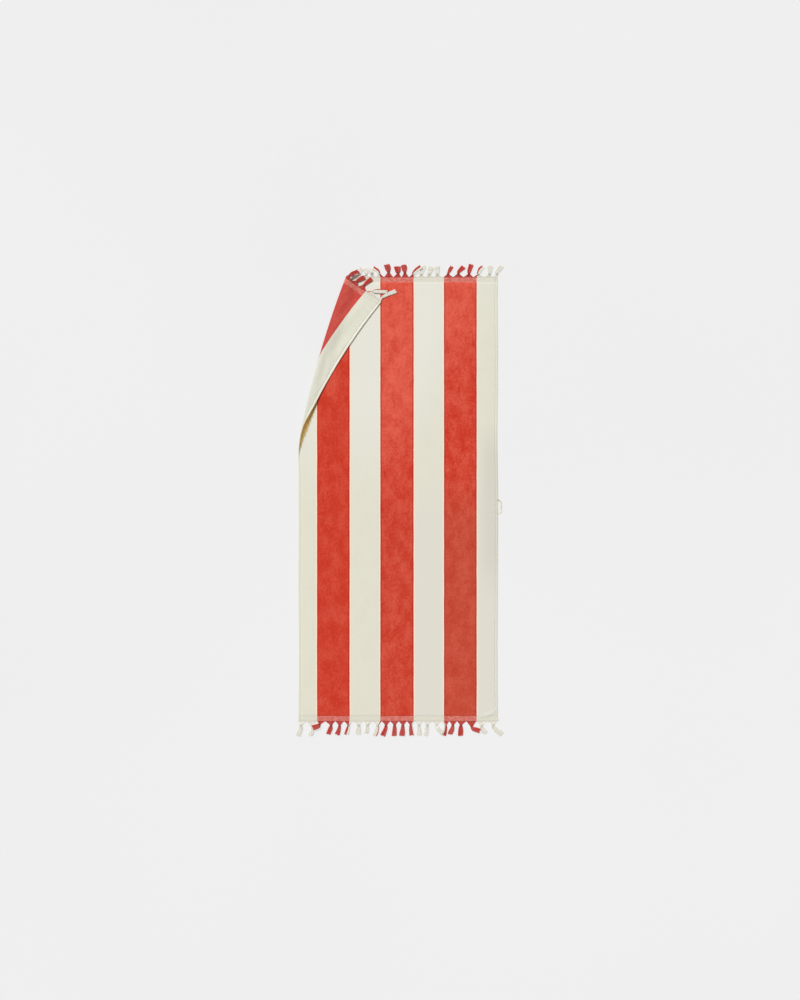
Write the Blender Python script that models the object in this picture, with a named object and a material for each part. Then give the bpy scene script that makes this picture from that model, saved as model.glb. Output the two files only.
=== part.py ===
"""Striped beach towel with a knotted fringe at both ends, lying flat with one corner folded over its front.

Metres, +Z up. The towel lies on z = 0 with its length along Y and its front up, and the origin is
the middle of the cloth, on the floor. Each piece is first laid out flat: x across, y along and z up
from the back of the cloth. fold() then carries the top left corner over a soft roll onto the front.
"""

import math
from collections import namedtuple

import bmesh
import bpy
from mathutils import Matrix, Vector

# The cloth, laid flat
CLOTH_WIDTH = 0.798
CLOTH_LENGTH = 1.773
PILE_THICK = 0.0032
BAND_THICK = 0.0020  # the flat-woven band at each end, which has no pile
BAND_WIDTH = 0.018
BAND_STEP = 0.0015  # run of the slope from the pile down to the band
HEM_STITCH = 0.009  # from the long edge to the line of stitches that holds the turned hem
HEM_GROOVE_HALF = 0.0015
HEM_GROOVE_DEPTH = 0.0011
HEM_ZONE = 0.030  # strip along each long edge that follows the edge's unevenness

# How far each long edge runs out of line, along the towel. The left one runs out at the fold.
Side = namedtuple("Side", "along left right")
SIDES = (
    Side(along=-0.8865, left=-0.0010, right=0.0040),
    Side(along=-0.862, left=-0.0010, right=0.0003),
    Side(along=-0.600, left=-0.0020, right=-0.0013),
    Side(along=-0.350, left=0.0000, right=0.0005),
    Side(along=-0.100, left=-0.0015, right=0.0015),
    Side(along=0.050, left=-0.0005, right=0.0015),
    Side(along=0.150, left=0.0004, right=0.0000),
    Side(along=0.200, left=0.0029, right=-0.0010),
    Side(along=0.250, left=0.0024, right=-0.0012),
    Side(along=0.300, left=0.0010, right=-0.0015),
    Side(along=0.400, left=0.0047, right=0.0003),
    Side(along=0.600, left=0.0030, right=0.0010),
    Side(along=0.800, left=0.0029, right=-0.0008),
    Side(along=0.8865, left=0.0032, right=0.0006),
)

# The folded corner: the line where the cloth leaves the floor, and the roll beyond it
FOLD_START = Vector((-0.1963, CLOTH_LENGTH / 2))  # where that line meets the top end
FOLD_LEAN = math.radians(16.3)  # from the towel's length
FOLD_BOW = 0.016  # the line bows out to the corner's side by this
FOLD_BOW_RUN = 0.359  # from the line's start to the middle of the bow
FOLD_TURN_START = 0.450  # from here on the line turns down along the long edge
FOLD_TURN = 0.128  # how sharply, for each metre squared
FOLD_RUN = 0.800  # from the line's start to where it leaves the cloth
ROLL_RADIUS_START = 0.0115
ROLL_RADIUS_LOW = 0.0080
ROLL_RADIUS_END = 0.0105
ROLL_LOW_RUN = 0.500  # the roll tightens up to here
ROLL_END_RUN = 0.700  # and is slack again from here on, where its edge lifts off the front
FLAP_CLEAR = 0.0025  # between the front and the flap that lies on it
FLAP_SETTLE = 0.055  # the flap comes down from the roll over this
ROLL_CUT = 0.004  # distance between the mesh's lines across the roll
FLAP_CUTS = (0.050, 0.058, 0.068, 0.080, 0.095, 0.130)
RUN_CUT = 0.050  # distance between the mesh's lines along the roll

# The fringe: a backing strip along each end, and tassels gathered from it into knots
JOIN_GAP = 0.0003
CORNER_SPAN = 0.1995  # the corner's own strip ends here, from the left edge: just past the fold line
STRIP_WIDTH = 0.005
STRIP_THICK = 0.0018
GATHER_THICK = 0.0013
GATHER_INSET = 0.0006  # half the gap between two gathers at the strip
GATHER_WAIST = 0.52  # width half way to the knot, as a share of the width at the strip
NECK_WIDTH = 0.006
KNOT_SIZE = Vector((0.0105, 0.0090, 0.0064))
LOCK_FILL = 0.82  # width of a lock at the tip, as a share of the distance to the next
LOCK_TAPER = 0.8  # width at the knot, as a share of the width at the tip
LOCK_CUTS = (0.3, 0.65)
LOCK_THICK = 0.0042
LOCK_STEP = 0.0003  # neighbouring locks of a tassel differ in height by this
LOCKS = 3
LOCK_BEND = 0.32  # a tail starts straight out of the end and turns to its tip from this share
LOCK_BELLY = 1.1  # distance between the locks at the bend, as a share of that at the tip
LOCK_ROOT = 0.42  # the same at the knot
REST_GAP = 0.0004  # between the front of the cloth and a tassel that lies on it

# A tassel: where its knot is along the end, from the left edge, and how far out of the end; then
# the same for its tip, and the distance between its locks there.
Tassel = namedtuple("Tassel", "knot drop tip reach spread")
FLAP_TASSELS = (
    Tassel(knot=0.006, drop=0.016, tip=-0.021, reach=0.067, spread=0.0052),
    Tassel(knot=0.052, drop=0.015, tip=0.004, reach=0.046, spread=0.0052),
    Tassel(knot=0.098, drop=0.017, tip=0.092, reach=0.056, spread=0.0056),
    Tassel(knot=0.131, drop=0.016, tip=0.117, reach=0.046, spread=0.0060),
    Tassel(knot=0.170, drop=0.017, tip=0.153, reach=0.051, spread=0.0060),
)
TOP_TASSELS = (
    Tassel(knot=0.246, drop=0.013, tip=0.258, reach=0.038, spread=0.0055),
    Tassel(knot=0.272, drop=0.012, tip=0.275, reach=0.038, spread=0.0055),
    Tassel(knot=0.296, drop=0.012, tip=0.281, reach=0.033, spread=0.0050),
    Tassel(knot=0.324, drop=0.016, tip=0.299, reach=0.040, spread=0.0050),
    Tassel(knot=0.362, drop=0.021, tip=0.353, reach=0.053, spread=0.0078),
    Tassel(knot=0.400, drop=0.017, tip=0.396, reach=0.046, spread=0.0088),
    Tassel(knot=0.427, drop=0.020, tip=0.421, reach=0.051, spread=0.0072),
    Tassel(knot=0.459, drop=0.012, tip=0.493, reach=0.043, spread=0.0050),
    Tassel(knot=0.492, drop=0.012, tip=0.507, reach=0.048, spread=0.0055),
    Tassel(knot=0.524, drop=0.012, tip=0.533, reach=0.045, spread=0.0070),
    Tassel(knot=0.556, drop=0.012, tip=0.555, reach=0.046, spread=0.0070),
    Tassel(knot=0.599, drop=0.014, tip=0.615, reach=0.046, spread=0.0060),
    Tassel(knot=0.640, drop=0.015, tip=0.664, reach=0.043, spread=0.0060),
    Tassel(knot=0.683, drop=0.014, tip=0.694, reach=0.053, spread=0.0060),
    Tassel(knot=0.720, drop=0.013, tip=0.740, reach=0.044, spread=0.0055),
    Tassel(knot=0.765, drop=0.014, tip=0.767, reach=0.048, spread=0.0070),
    Tassel(knot=0.794, drop=0.015, tip=0.814, reach=0.048, spread=0.0065),
)
BOTTOM_TASSELS = (
    Tassel(knot=0.011, drop=0.017, tip=0.000, reach=0.062, spread=0.0065),
    Tassel(knot=0.058, drop=0.028, tip=0.047, reach=0.060, spread=0.0055),
    Tassel(knot=0.086, drop=0.014, tip=0.057, reach=0.027, spread=0.0058),
    Tassel(knot=0.132, drop=0.017, tip=0.119, reach=0.055, spread=0.0062),
    Tassel(knot=0.166, drop=0.018, tip=0.155, reach=0.057, spread=0.0058),
    Tassel(knot=0.202, drop=0.017, tip=0.191, reach=0.056, spread=0.0052),
    Tassel(knot=0.242, drop=0.017, tip=0.239, reach=0.056, spread=0.0065),
    Tassel(knot=0.277, drop=0.017, tip=0.272, reach=0.051, spread=0.0055),
    Tassel(knot=0.318, drop=0.018, tip=0.304, reach=0.060, spread=0.0060),
    Tassel(knot=0.352, drop=0.017, tip=0.337, reach=0.061, spread=0.0062),
    Tassel(knot=0.386, drop=0.017, tip=0.384, reach=0.061, spread=0.0064),
    Tassel(knot=0.419, drop=0.017, tip=0.415, reach=0.061, spread=0.0065),
    Tassel(knot=0.451, drop=0.017, tip=0.455, reach=0.060, spread=0.0062),
    Tassel(knot=0.483, drop=0.017, tip=0.484, reach=0.060, spread=0.0058),
    Tassel(knot=0.516, drop=0.017, tip=0.508, reach=0.060, spread=0.0058),
    Tassel(knot=0.553, drop=0.018, tip=0.578, reach=0.051, spread=0.0060),
    Tassel(knot=0.590, drop=0.017, tip=0.583, reach=0.060, spread=0.0055),
    Tassel(knot=0.619, drop=0.017, tip=0.606, reach=0.055, spread=0.0060),
    Tassel(knot=0.651, drop=0.017, tip=0.648, reach=0.061, spread=0.0068),
    Tassel(knot=0.694, drop=0.025, tip=0.728, reach=0.041, spread=0.0060),
    Tassel(knot=0.733, drop=0.021, tip=0.752, reach=0.050, spread=0.0058),
    Tassel(knot=0.779, drop=0.018, tip=0.817, reach=0.055, spread=0.0068),
)

# The hanging loop: a narrow tape in a flat D on the right edge
LOOP_TOP = -0.0032  # along the towel
LOOP_BOTTOM = -0.0560
LOOP_PROUD = 0.0138
LOOP_ROUND = 0.45  # share of the loop's half length over which it turns back to the cloth
TAPE_WIDTH = 0.0085
TAPE_THICK = 0.0012
TAPE_LEAN = math.radians(48)  # the tape's outer face turns down to the floor by this
TAPE_STEPS = 28
TAPE_TUCK = 0.006  # length of each end before it is cut off at the hem
TAPE_REST = 0.0002  # from the floor to the tape's lower edge
PATH_STEP = 0.01  # share of the tape over which its direction is taken

RED = (0.60, 0.060, 0.032, 1.0)
CREAM = (0.76, 0.73, 0.62, 1.0)

HALF_WIDTH = CLOTH_WIDTH / 2
HALF_LENGTH = CLOTH_LENGTH / 2
FOLD_DOWN = Vector((-math.sin(FOLD_LEAN), -math.cos(FOLD_LEAN)))
FOLD_OUT = Vector((-math.cos(FOLD_LEAN), math.sin(FOLD_LEAN)))
FLAP_TOP = 2 * PILE_THICK + FLAP_CLEAR  # height of the flap's upper side, the back of the cloth


# ---------------------------------------------------------------- shape of the laid towel


def smooth(share):
    """0 to 1 with a level start and end."""
    share = min(max(share, 0.0), 1.0)
    return share * share * (3 - 2 * share)


def edge_shift(along):
    """How far the left and the right edge run out at this place along the towel."""
    for low, high in zip(SIDES, SIDES[1:]):
        if along <= high.along or high is SIDES[-1]:
            share = min(max((along - low.along) / (high.along - low.along), 0.0), 1.0)
            left = low.left + (high.left - low.left) * share
            right = low.right + (high.right - low.right) * share
            return left, right


def roll_radius(run):
    """Outer radius of the roll at this run along the fold."""
    tighter = (ROLL_RADIUS_LOW - ROLL_RADIUS_START) * smooth(run / ROLL_LOW_RUN)
    slack = smooth((run - ROLL_LOW_RUN) / (ROLL_END_RUN - ROLL_LOW_RUN))
    return ROLL_RADIUS_START + tighter + (ROLL_RADIUS_END - ROLL_RADIUS_LOW) * slack


def fold_bow(run):
    """How far the fold line stands out of its straight, to the corner's side."""
    run = min(run, FOLD_RUN)
    bow = FOLD_BOW * (1 - ((run - FOLD_BOW_RUN) / FOLD_BOW_RUN) ** 2)
    return bow - FOLD_TURN * max(run - FOLD_TURN_START, 0.0) ** 2


def roll_section(over, radius):
    """The back of the cloth, this far past the fold line: reach, height and direction."""
    half_turn = math.pi * radius
    if over < half_turn:
        angle = over / radius
        rise = radius * (1 - math.cos(angle))
        return radius * math.sin(angle), rise, Vector((math.cos(angle), math.sin(angle)))
    share = min((over - half_turn) / FLAP_SETTLE, 1.0)
    fall = FLAP_TOP - 2 * radius
    slope = fall * 6 * share * (1 - share) / FLAP_SETTLE
    return half_turn - over, 2 * radius + fall * smooth(share), Vector((-1, slope)).normalized()


def fold(point):
    """A point of the towel laid flat, where it lies once the corner is folded over."""
    flat = Vector((point.x, point.y)) - FOLD_START
    run = flat.dot(FOLD_DOWN)
    bow = fold_bow(run)
    over = flat.dot(FOLD_OUT) - bow
    if over <= 0:
        return point.copy()
    reach, height, way = roll_section(over, roll_radius(run))
    reach += bow - way.y * point.z
    height += way.x * point.z
    place = FOLD_START + FOLD_DOWN * run + FOLD_OUT * reach
    return Vector((place.x, place.y, height))


# ---------------------------------------------------------------- mesh helpers


def cut(bm, place, normal, faces=None):
    """Splits the faces along a plane."""
    faces = bm.faces[:] if faces is None else faces
    edges = {edge for face in faces for edge in face.edges}
    verts = {vert for face in faces for vert in face.verts}
    bmesh.ops.bisect_plane(
        bm, geom=[*faces, *edges, *verts], dist=1e-6, plane_co=place, plane_no=normal
    )


def cut_across_fold(bm):
    """Lines parallel to the fold, on the corner's side of it, where flat faces can bend."""
    normal = FOLD_OUT.to_3d()
    roll_width = math.pi * ROLL_RADIUS_START + FOLD_BOW
    roll_cuts = [ROLL_CUT * i for i in range(math.ceil(roll_width / ROLL_CUT) + 1)]
    for distance in [*roll_cuts, *FLAP_CUTS]:
        cut(bm, FOLD_START.to_3d() + normal * distance, normal)


def cut_along_fold(bm):
    """Lines square to the fold, only on the corner's side of it."""
    normal = FOLD_DOWN.to_3d()
    for step in range(math.ceil(FOLD_RUN / RUN_CUT)):
        faces = [
            face
            for face in bm.faces
            if (face.calc_center_median().to_2d() - FOLD_START).dot(FOLD_OUT) > 0
        ]
        cut(bm, FOLD_START.to_3d() + normal * step * RUN_CUT, normal, faces)


def flat_slab(left, right, bottom, top):
    """An open rectangle in the floor's plane, still one face."""
    bm = bmesh.new()
    bmesh.ops.create_grid(bm, x_segments=1, y_segments=1, size=0.5)
    bmesh.ops.scale(bm, vec=(right - left, top - bottom, 1), verts=bm.verts)
    bmesh.ops.translate(bm, vec=((left + right) / 2, (bottom + top) / 2, 0), verts=bm.verts)
    return bm


def thicken(bm, thickness):
    """Makes a flat sheet a closed slab from z = 0 up."""
    bmesh.ops.solidify(bm, geom=bm.faces[:], thickness=thickness)
    for vert in bm.verts:
        vert.co.z = thickness if abs(vert.co.z) > thickness / 2 else 0.0
    if bm.calc_volume(signed=True) < 0:
        bmesh.ops.reverse_faces(bm, faces=bm.faces[:])


def make_object(name, bm, material, collection):
    mesh = bpy.data.meshes.new(name)
    bm.to_mesh(mesh)
    bm.free()
    mesh.materials.append(material)
    made = bpy.data.objects.new(name, mesh)
    collection.objects.link(made)
    return made


def make_material(name, color, roughness):
    material = bpy.data.materials.new(name)
    material.use_nodes = True
    shader = material.node_tree.nodes["Principled BSDF"]
    shader.inputs["Base Color"].default_value = color
    shader.inputs["Roughness"].default_value = roughness
    shader.inputs["Metallic"].default_value = 0.0
    material.diffuse_color = color
    return material


# ---------------------------------------------------------------- the cloth


def cloth_height(across, along):
    """Height of the front above the back: pile, end band or the groove of the hem's stitches."""
    if HALF_LENGTH - abs(along) < BAND_WIDTH + BAND_STEP / 2:
        return BAND_THICK
    if abs(HALF_WIDTH - abs(across) - HEM_STITCH) < HEM_GROOVE_HALF / 2:
        return PILE_THICK - HEM_GROOVE_DEPTH
    return PILE_THICK


def make_cloth(collection):
    bm = flat_slab(-HALF_WIDTH, HALF_WIDTH, -HALF_LENGTH, HALF_LENGTH)
    for side in (-1, 1):
        for inset in (BAND_WIDTH, BAND_WIDTH + BAND_STEP):
            cut(bm, Vector((0, side * (HALF_LENGTH - inset), 0)), Vector((0, 1, 0)))
        for shift in (-HEM_GROOVE_HALF, 0, HEM_GROOVE_HALF):
            line = side * (HALF_WIDTH - HEM_STITCH + shift)
            cut(bm, Vector((line, 0, 0)), Vector((1, 0, 0)))
    for row in SIDES[1:-1]:
        cut(bm, Vector((0, row.along, 0)), Vector((0, 1, 0)))
    cut_across_fold(bm)
    cut_along_fold(bm)
    bmesh.ops.triangulate(bm, faces=bm.faces[:])
    thicken(bm, PILE_THICK)
    for vert in bm.verts:
        if vert.co.z > 0:
            vert.co.z = cloth_height(vert.co.x, vert.co.y)
        left, right = edge_shift(vert.co.y)
        if HALF_WIDTH - abs(vert.co.x) < HEM_ZONE:
            vert.co.x += right if vert.co.x > 0 else -left
        vert.co = fold(vert.co)
    material = make_material("towel_cloth", RED, 0.95)
    return make_object("towel_cloth", bm, material, collection)


# ---------------------------------------------------------------- the fringe


def join_shape(bm, shape):
    """Adds a finished shape to a larger mesh."""
    mesh = bpy.data.meshes.new("shape")
    shape.to_mesh(mesh)
    shape.free()
    bm.from_mesh(mesh)
    bpy.data.meshes.remove(mesh)


def add_gather(bm, base_left, base_right, knot, level):
    """The end threads drawn together from the strip to a knot, with hollow sides."""
    shape = bmesh.new()
    bmesh.ops.create_cube(shape, size=1.0)
    cut(shape, Vector((0, 0, 0)), Vector((0, 1, 0)))
    span = base_right - base_left
    widths = (span, GATHER_WAIST * span, NECK_WIDTH)
    start = Vector(((base_left + base_right) / 2, STRIP_WIDTH / 2, STRIP_THICK / 2))
    end = Vector((knot.x, knot.y, level))
    for vert in shape.verts:
        share = vert.co.y + 0.5
        spot = start.lerp(end, share)
        spot.x = start.x + (end.x - start.x) * smooth(share)
        side = vert.co.x * widths[round(2 * share)]
        vert.co = spot + Vector((side, 0, vert.co.z * GATHER_THICK))
    join_shape(bm, shape)


def add_knot(bm, knot, level):
    shape = bmesh.new()
    bmesh.ops.create_uvsphere(shape, u_segments=8, v_segments=4, radius=0.5)
    bmesh.ops.scale(shape, vec=KNOT_SIZE, verts=shape.verts)
    bmesh.ops.translate(shape, vec=(knot.x, knot.y, level), verts=shape.verts)
    join_shape(bm, shape)


def add_lock(bm, start, bend, tip, level, width):
    """One four-sided lock on a smooth path from the knot to the tip, wider at its tip."""
    turn = Matrix.Rotation(math.radians(-90), 4, "X") @ Matrix.Rotation(math.radians(45), 4, "Z")
    shape = bmesh.new()
    bmesh.ops.create_cone(
        shape,
        cap_ends=True,
        segments=4,
        radius1=math.sqrt(0.5) * LOCK_TAPER,
        radius2=math.sqrt(0.5),
        depth=1.0,
        matrix=turn,
    )
    for share in LOCK_CUTS:
        cut(shape, Vector((0, share - 0.5, 0)), Vector((0, 1, 0)))
    for vert in shape.verts:
        share = vert.co.y + 0.5
        spot = start.lerp(bend, share).lerp(bend.lerp(tip, share), share)
        way = bend.lerp(tip, share) - start.lerp(bend, share)
        side = Vector((way.y, -way.x)).normalized() * vert.co.x * width
        vert.co = Vector((spot.x + side.x, spot.y + side.y, level + vert.co.z * LOCK_THICK))
    join_shape(bm, shape)


def add_tassel(bm, gathers, tassel, base_left, base_right, on_flap):
    """A tassel in the frame of its end: x from the left edge, y out of the cloth."""
    knot = Vector((tassel.knot, tassel.drop))
    tip = Vector((tassel.tip, tassel.reach))
    aside = (tip - knot).orthogonal().normalized()

    def level(thick):
        return PILE_THICK + FLAP_CLEAR - REST_GAP - thick / 2 if on_flap else thick / 2

    add_gather(gathers, base_left, base_right, knot, level(KNOT_SIZE.z))
    add_knot(bm, knot, level(KNOT_SIZE.z))
    for number in range(LOCKS):
        shift = aside * tassel.spread * (number - (LOCKS - 1) / 2)
        bend = knot + Vector((0, (tassel.reach - tassel.drop) * LOCK_BEND)) + shift * LOCK_BELLY
        height = level(LOCK_THICK + LOCK_STEP * 2 * number)
        width = LOCK_FILL * tassel.spread
        add_lock(bm, knot + shift * LOCK_ROOT, bend, tip + shift, height, width)


def make_fringe(name, tassels, left, right, side, collection, helpers):
    """A strip along an end, or part of it, with its tassels. side is 1 at the top end, or -1."""
    strip = flat_slab(left - HALF_WIDTH, right - HALF_WIDTH, 0, STRIP_WIDTH)
    gathers = bmesh.new()
    locks = bmesh.new()
    middles = [(one.knot + other.knot) / 2 for one, other in zip(tassels, tassels[1:])]
    bounds = [left, *middles, right]
    on_flap = tassels is FLAP_TASSELS
    for tassel, low, high in zip(tassels, bounds, bounds[1:]):
        add_tassel(locks, gathers, tassel, low + GATHER_INSET, high - GATHER_INSET, on_flap)
    for bm in (gathers, locks):
        bmesh.ops.translate(bm, vec=(-HALF_WIDTH, 0, 0), verts=bm.verts)
    for bm in (strip, gathers, locks):
        bmesh.ops.translate(bm, vec=(0, HALF_LENGTH + JOIN_GAP, 0), verts=bm.verts)
    if side > 0:
        cut_across_fold(strip)
        cut_across_fold(gathers)
    thicken(strip, STRIP_THICK)
    join_shape(locks, gathers)
    for bm in (strip, locks):
        bmesh.ops.triangulate(bm, faces=bm.faces[:])
        if side < 0:
            bmesh.ops.scale(bm, vec=(1, -1, 1), verts=bm.verts)
            bmesh.ops.reverse_faces(bm, faces=bm.faces[:])
        for vert in bm.verts:
            vert.co = fold(vert.co)
    material = make_material(name, CREAM, 0.9)
    tufts = make_object(name + "_tassels", locks, material, helpers)
    tufts.hide_render = True
    tufts.display_type = "WIRE"
    fringe = make_object(name, strip, material, collection)
    join = fringe.modifiers.new("tassels", "BOOLEAN")
    join.operation = "UNION"
    join.solver = "EXACT"
    join.use_self = True
    join.object = tufts
    return fringe


# ---------------------------------------------------------------- the hanging loop


def loop_path(share):
    """The tape's middle line in the floor's plane: out from the edge, along it and back."""
    middle = (LOOP_TOP + LOOP_BOTTOM) / 2
    half = (LOOP_TOP - LOOP_BOTTOM) / 2
    place = 2 * share - 1
    rise = min((1 - abs(place)) / LOOP_ROUND, 1.0)
    return Vector((LOOP_PROUD * math.sin(rise * math.pi / 2), middle - half * place))


def make_loop(collection):
    edge = HALF_WIDTH + edge_shift(LOOP_TOP)[1]
    bm = flat_slab(-0.5, 0.5, -0.5, 0.5)
    for step in range(1, TAPE_STEPS):
        cut(bm, Vector((0, step / TAPE_STEPS - 0.5, 0)), Vector((0, 1, 0)))
    ends = TAPE_TUCK / (LOOP_TOP - LOOP_BOTTOM)
    for vert in bm.verts:
        share = (vert.co.y + 0.5) * (1 + 2 * ends) - ends
        spot = loop_path(share)
        ahead = (loop_path(share + PATH_STEP) - loop_path(share - PATH_STEP)).normalized()
        aside = Vector((-ahead.y, ahead.x))
        inward = (vert.co.x + 0.5) * TAPE_WIDTH
        spot += aside * inward * math.sin(TAPE_LEAN)
        spot.x -= TAPE_WIDTH * math.sin(TAPE_LEAN)
        height = inward * math.cos(TAPE_LEAN)
        vert.co = Vector((edge + spot.x, spot.y, height))
    bmesh.ops.recalc_face_normals(bm, faces=bm.faces[:])
    bmesh.ops.solidify(bm, geom=bm.faces[:], thickness=TAPE_THICK)
    lowest = min(vert.co.z for vert in bm.verts)
    bmesh.ops.translate(bm, vec=(0, 0, TAPE_REST - lowest), verts=bm.verts)
    made = bmesh.ops.bisect_plane(
        bm,
        geom=[*bm.verts, *bm.edges, *bm.faces],
        dist=1e-6,
        plane_co=(edge + JOIN_GAP, 0, 0),
        plane_no=(-1, 0, 0),
        clear_outer=True,
    )
    rim = [item for item in made["geom_cut"] if isinstance(item, bmesh.types.BMEdge)]
    bmesh.ops.holes_fill(bm, edges=rim)
    bmesh.ops.recalc_face_normals(bm, faces=bm.faces[:])
    material = make_material("hang_loop", CREAM, 0.85)
    return make_object("hang_loop", bm, material, collection)


def main():
    for item in list(bpy.data.objects):
        bpy.data.objects.remove(item)
    towel = bpy.data.collections.new("beach_towel")
    helpers = bpy.data.collections.new("helpers")
    for collection in (towel, helpers):
        bpy.context.scene.collection.children.link(collection)
    make_cloth(towel)
    corner_end = CORNER_SPAN - JOIN_GAP
    make_fringe("fringe_corner", FLAP_TASSELS, 0, corner_end, 1, towel, helpers)
    make_fringe("fringe_top", TOP_TASSELS, CORNER_SPAN, CLOTH_WIDTH, 1, towel, helpers)
    make_fringe("fringe_bottom", BOTTOM_TASSELS, 0, CLOTH_WIDTH, -1, towel, helpers)
    make_loop(towel)


main()
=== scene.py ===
"""Looks of the striped beach towel: velour front, looped back, flat-woven end bands, stitched hems,
knotted fringe of twisted yarn and a woven hanging tape, seen from straight above.

Metres, +Z up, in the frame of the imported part. Each piece is first laid out flat: x across, y along
and z up from the back of the cloth. lay() then gives it the long edges' run-out and carries the top
left corner over its roll onto the front.
"""

import math
import random
from collections import namedtuple

import bmesh
import bpy
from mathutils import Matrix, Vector, noise


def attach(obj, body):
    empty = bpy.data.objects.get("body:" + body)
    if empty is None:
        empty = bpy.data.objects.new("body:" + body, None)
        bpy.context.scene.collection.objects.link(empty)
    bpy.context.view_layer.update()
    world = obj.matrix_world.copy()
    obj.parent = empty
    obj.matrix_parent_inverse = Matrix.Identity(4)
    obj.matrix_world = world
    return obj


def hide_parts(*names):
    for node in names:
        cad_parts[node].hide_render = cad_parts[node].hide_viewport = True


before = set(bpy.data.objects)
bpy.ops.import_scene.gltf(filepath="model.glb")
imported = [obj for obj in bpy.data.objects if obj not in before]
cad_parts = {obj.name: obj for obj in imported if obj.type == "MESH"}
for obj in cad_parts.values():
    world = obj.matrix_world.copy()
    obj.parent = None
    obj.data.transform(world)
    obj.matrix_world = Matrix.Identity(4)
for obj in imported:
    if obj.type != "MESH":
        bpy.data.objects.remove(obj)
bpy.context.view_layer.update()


def table(kind, *rows):
    """A table whose columns have the kind's names."""
    return tuple(kind(*row) for row in rows)


# The cloth, laid flat: the same sizes as the solids
CLOTH_WIDTH = 0.798
CLOTH_LENGTH = 1.773
PILE_THICK = 0.0032
BAND_THICK = 0.0020  # the flat-woven band at each end, which has no pile
BAND_WIDTH = 0.018
BAND_STEP = 0.0060  # run of the slope from the pile down to the band
PILE_END = 0.0015  # the pile reaches down the slope to this far from the band
HEM_STITCH = 0.009  # from the long edge to the line of stitches that holds the turned hem
HEM_GROOVE_HALF = 0.0016
HEM_GROOVE_DEPTH = 0.0011
HEM_ZONE = 0.030  # strip along each long edge that follows the edge's unevenness
HALF_WIDTH = CLOTH_WIDTH / 2
HALF_LENGTH = CLOTH_LENGTH / 2

# The red stripes, from the left edge; the cloth between them is cream
RED_STRIPES = ((0.0760, 0.2060), (0.3290, 0.4620), (0.5835, 0.7140))

# How far each long edge runs out of line, at places along the towel
Side = namedtuple("Side", "along left right")
SIDES = table(
    Side,
    (-0.8865, -0.0010, 0.0040),
    (-0.862, -0.0010, 0.0003),
    (-0.600, -0.0020, -0.0013),
    (-0.350, 0.0000, 0.0005),
    (-0.100, -0.0015, 0.0015),
    (0.050, -0.0005, 0.0015),
    (0.150, 0.0004, 0.0000),
    (0.200, 0.0029, -0.0010),
    (0.250, 0.0024, -0.0012),
    (0.300, 0.0010, -0.0015),
    (0.400, 0.0047, 0.0003),
    (0.600, 0.0030, 0.0010),
    (0.800, 0.0029, -0.0008),
    (0.8865, 0.0032, 0.0006),
)

# The folded corner. The fold line leans to the left on its way down, bows out to the corner's side
# and turns in again at its lower end. Runs are measured down it.
FOLD_START = Vector((-0.1963, HALF_LENGTH))
FOLD_LEAN = math.radians(16.3)
FOLD_BOW = 0.016
FOLD_BOW_RUN = 0.359  # the bow is fullest here
FOLD_TURN_START = 0.450
FOLD_TURN = 0.128
FOLD_RUN = 0.800
ROLL_RADIUS_START = 0.0115  # at the top edge
ROLL_RADIUS_LOW = 0.0080  # where the roll is tightest
ROLL_RADIUS_END = 0.0105  # at its open end
ROLL_LOW_RUN = 0.500
ROLL_END_RUN = 0.700
FLAP_CLEAR = 0.0025  # between the front and the flap
FLAP_SETTLE = 0.055  # past the roll, the flap comes to its height over this
FOLD_DOWN = Vector((-math.sin(FOLD_LEAN), -math.cos(FOLD_LEAN)))
FOLD_OUT = Vector((-math.cos(FOLD_LEAN), math.sin(FOLD_LEAN)))
FLAP_TOP = 2 * PILE_THICK + FLAP_CLEAR

# The open end of the roll, where little light reaches the front: painted shade, a golden tint put into
# the pile's colour there
NOOK_RUN = (0.490, 0.745)
NOOK_EASE = 0.035  # the tint comes and goes over this
NOOK_REACH = 0.0430  # from the fold line out onto the front, at the upper end
NOOK_CLOSE = 0.176  # how fast that reach shortens down the fold
NOOK_BLUR = 0.006
NOOK_LIT = (0.0125, 0.0090)  # nearer its outer edge than this, past the flap's shadow, the painted shade is darker, standing in for that shadow
NOOK_RIM = (0.0030, 0.0055)  # the very edge of the cloth stays pale
NOOK_HEM_RUN = (0.560, 0.610)  # from here on the turned hem gets the painted shade as well
NOOK_HEM_SHARE = 0.32
ROLL_SHADE_SHARES = (0.75, 1.15)  # painted shade on the back where it turns round the roll: full up to the first share of the half turn, none past the next

# The cloth's mesh
GRID_STEP = 0.007
ROLL_STEP = 0.0025  # distance between the mesh's lines across the roll
ROLL_LINES = 22
RIM_ROUND = 0.0022  # the cloth's edges are rounded over this
RIM_CUTS = (0.0005, 0.0012, RIM_ROUND)
SLOPE_CUTS = (0.5, 0.75, 1.0)  # shares of the slope down to the band
RIM_SHARE = 0.45  # thickness left at the very edge
HEM_PUFF = 0.0004  # the turned hem is this much fuller between its stitches and the edge
HEM_RAISE = 0.0012  # the turned hem stands this far out of the flap's upper side
HEM_RAISE_RUN = 0.06  # it rises over this, past the fold line
HEM_RAISE_EASE = 0.005
HEM_PAINTED_HIGHLIGHT = (0.0062, 0.0030)  # painted highlight: the hem's fold on the back is paler from here to here, as where its rounded edge catches the light
BACK_GROOVE_DEPTH = 0.0009
CLOTH_SHARP = math.radians(50)  # an edge that turns more than this is shown sharp
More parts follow.
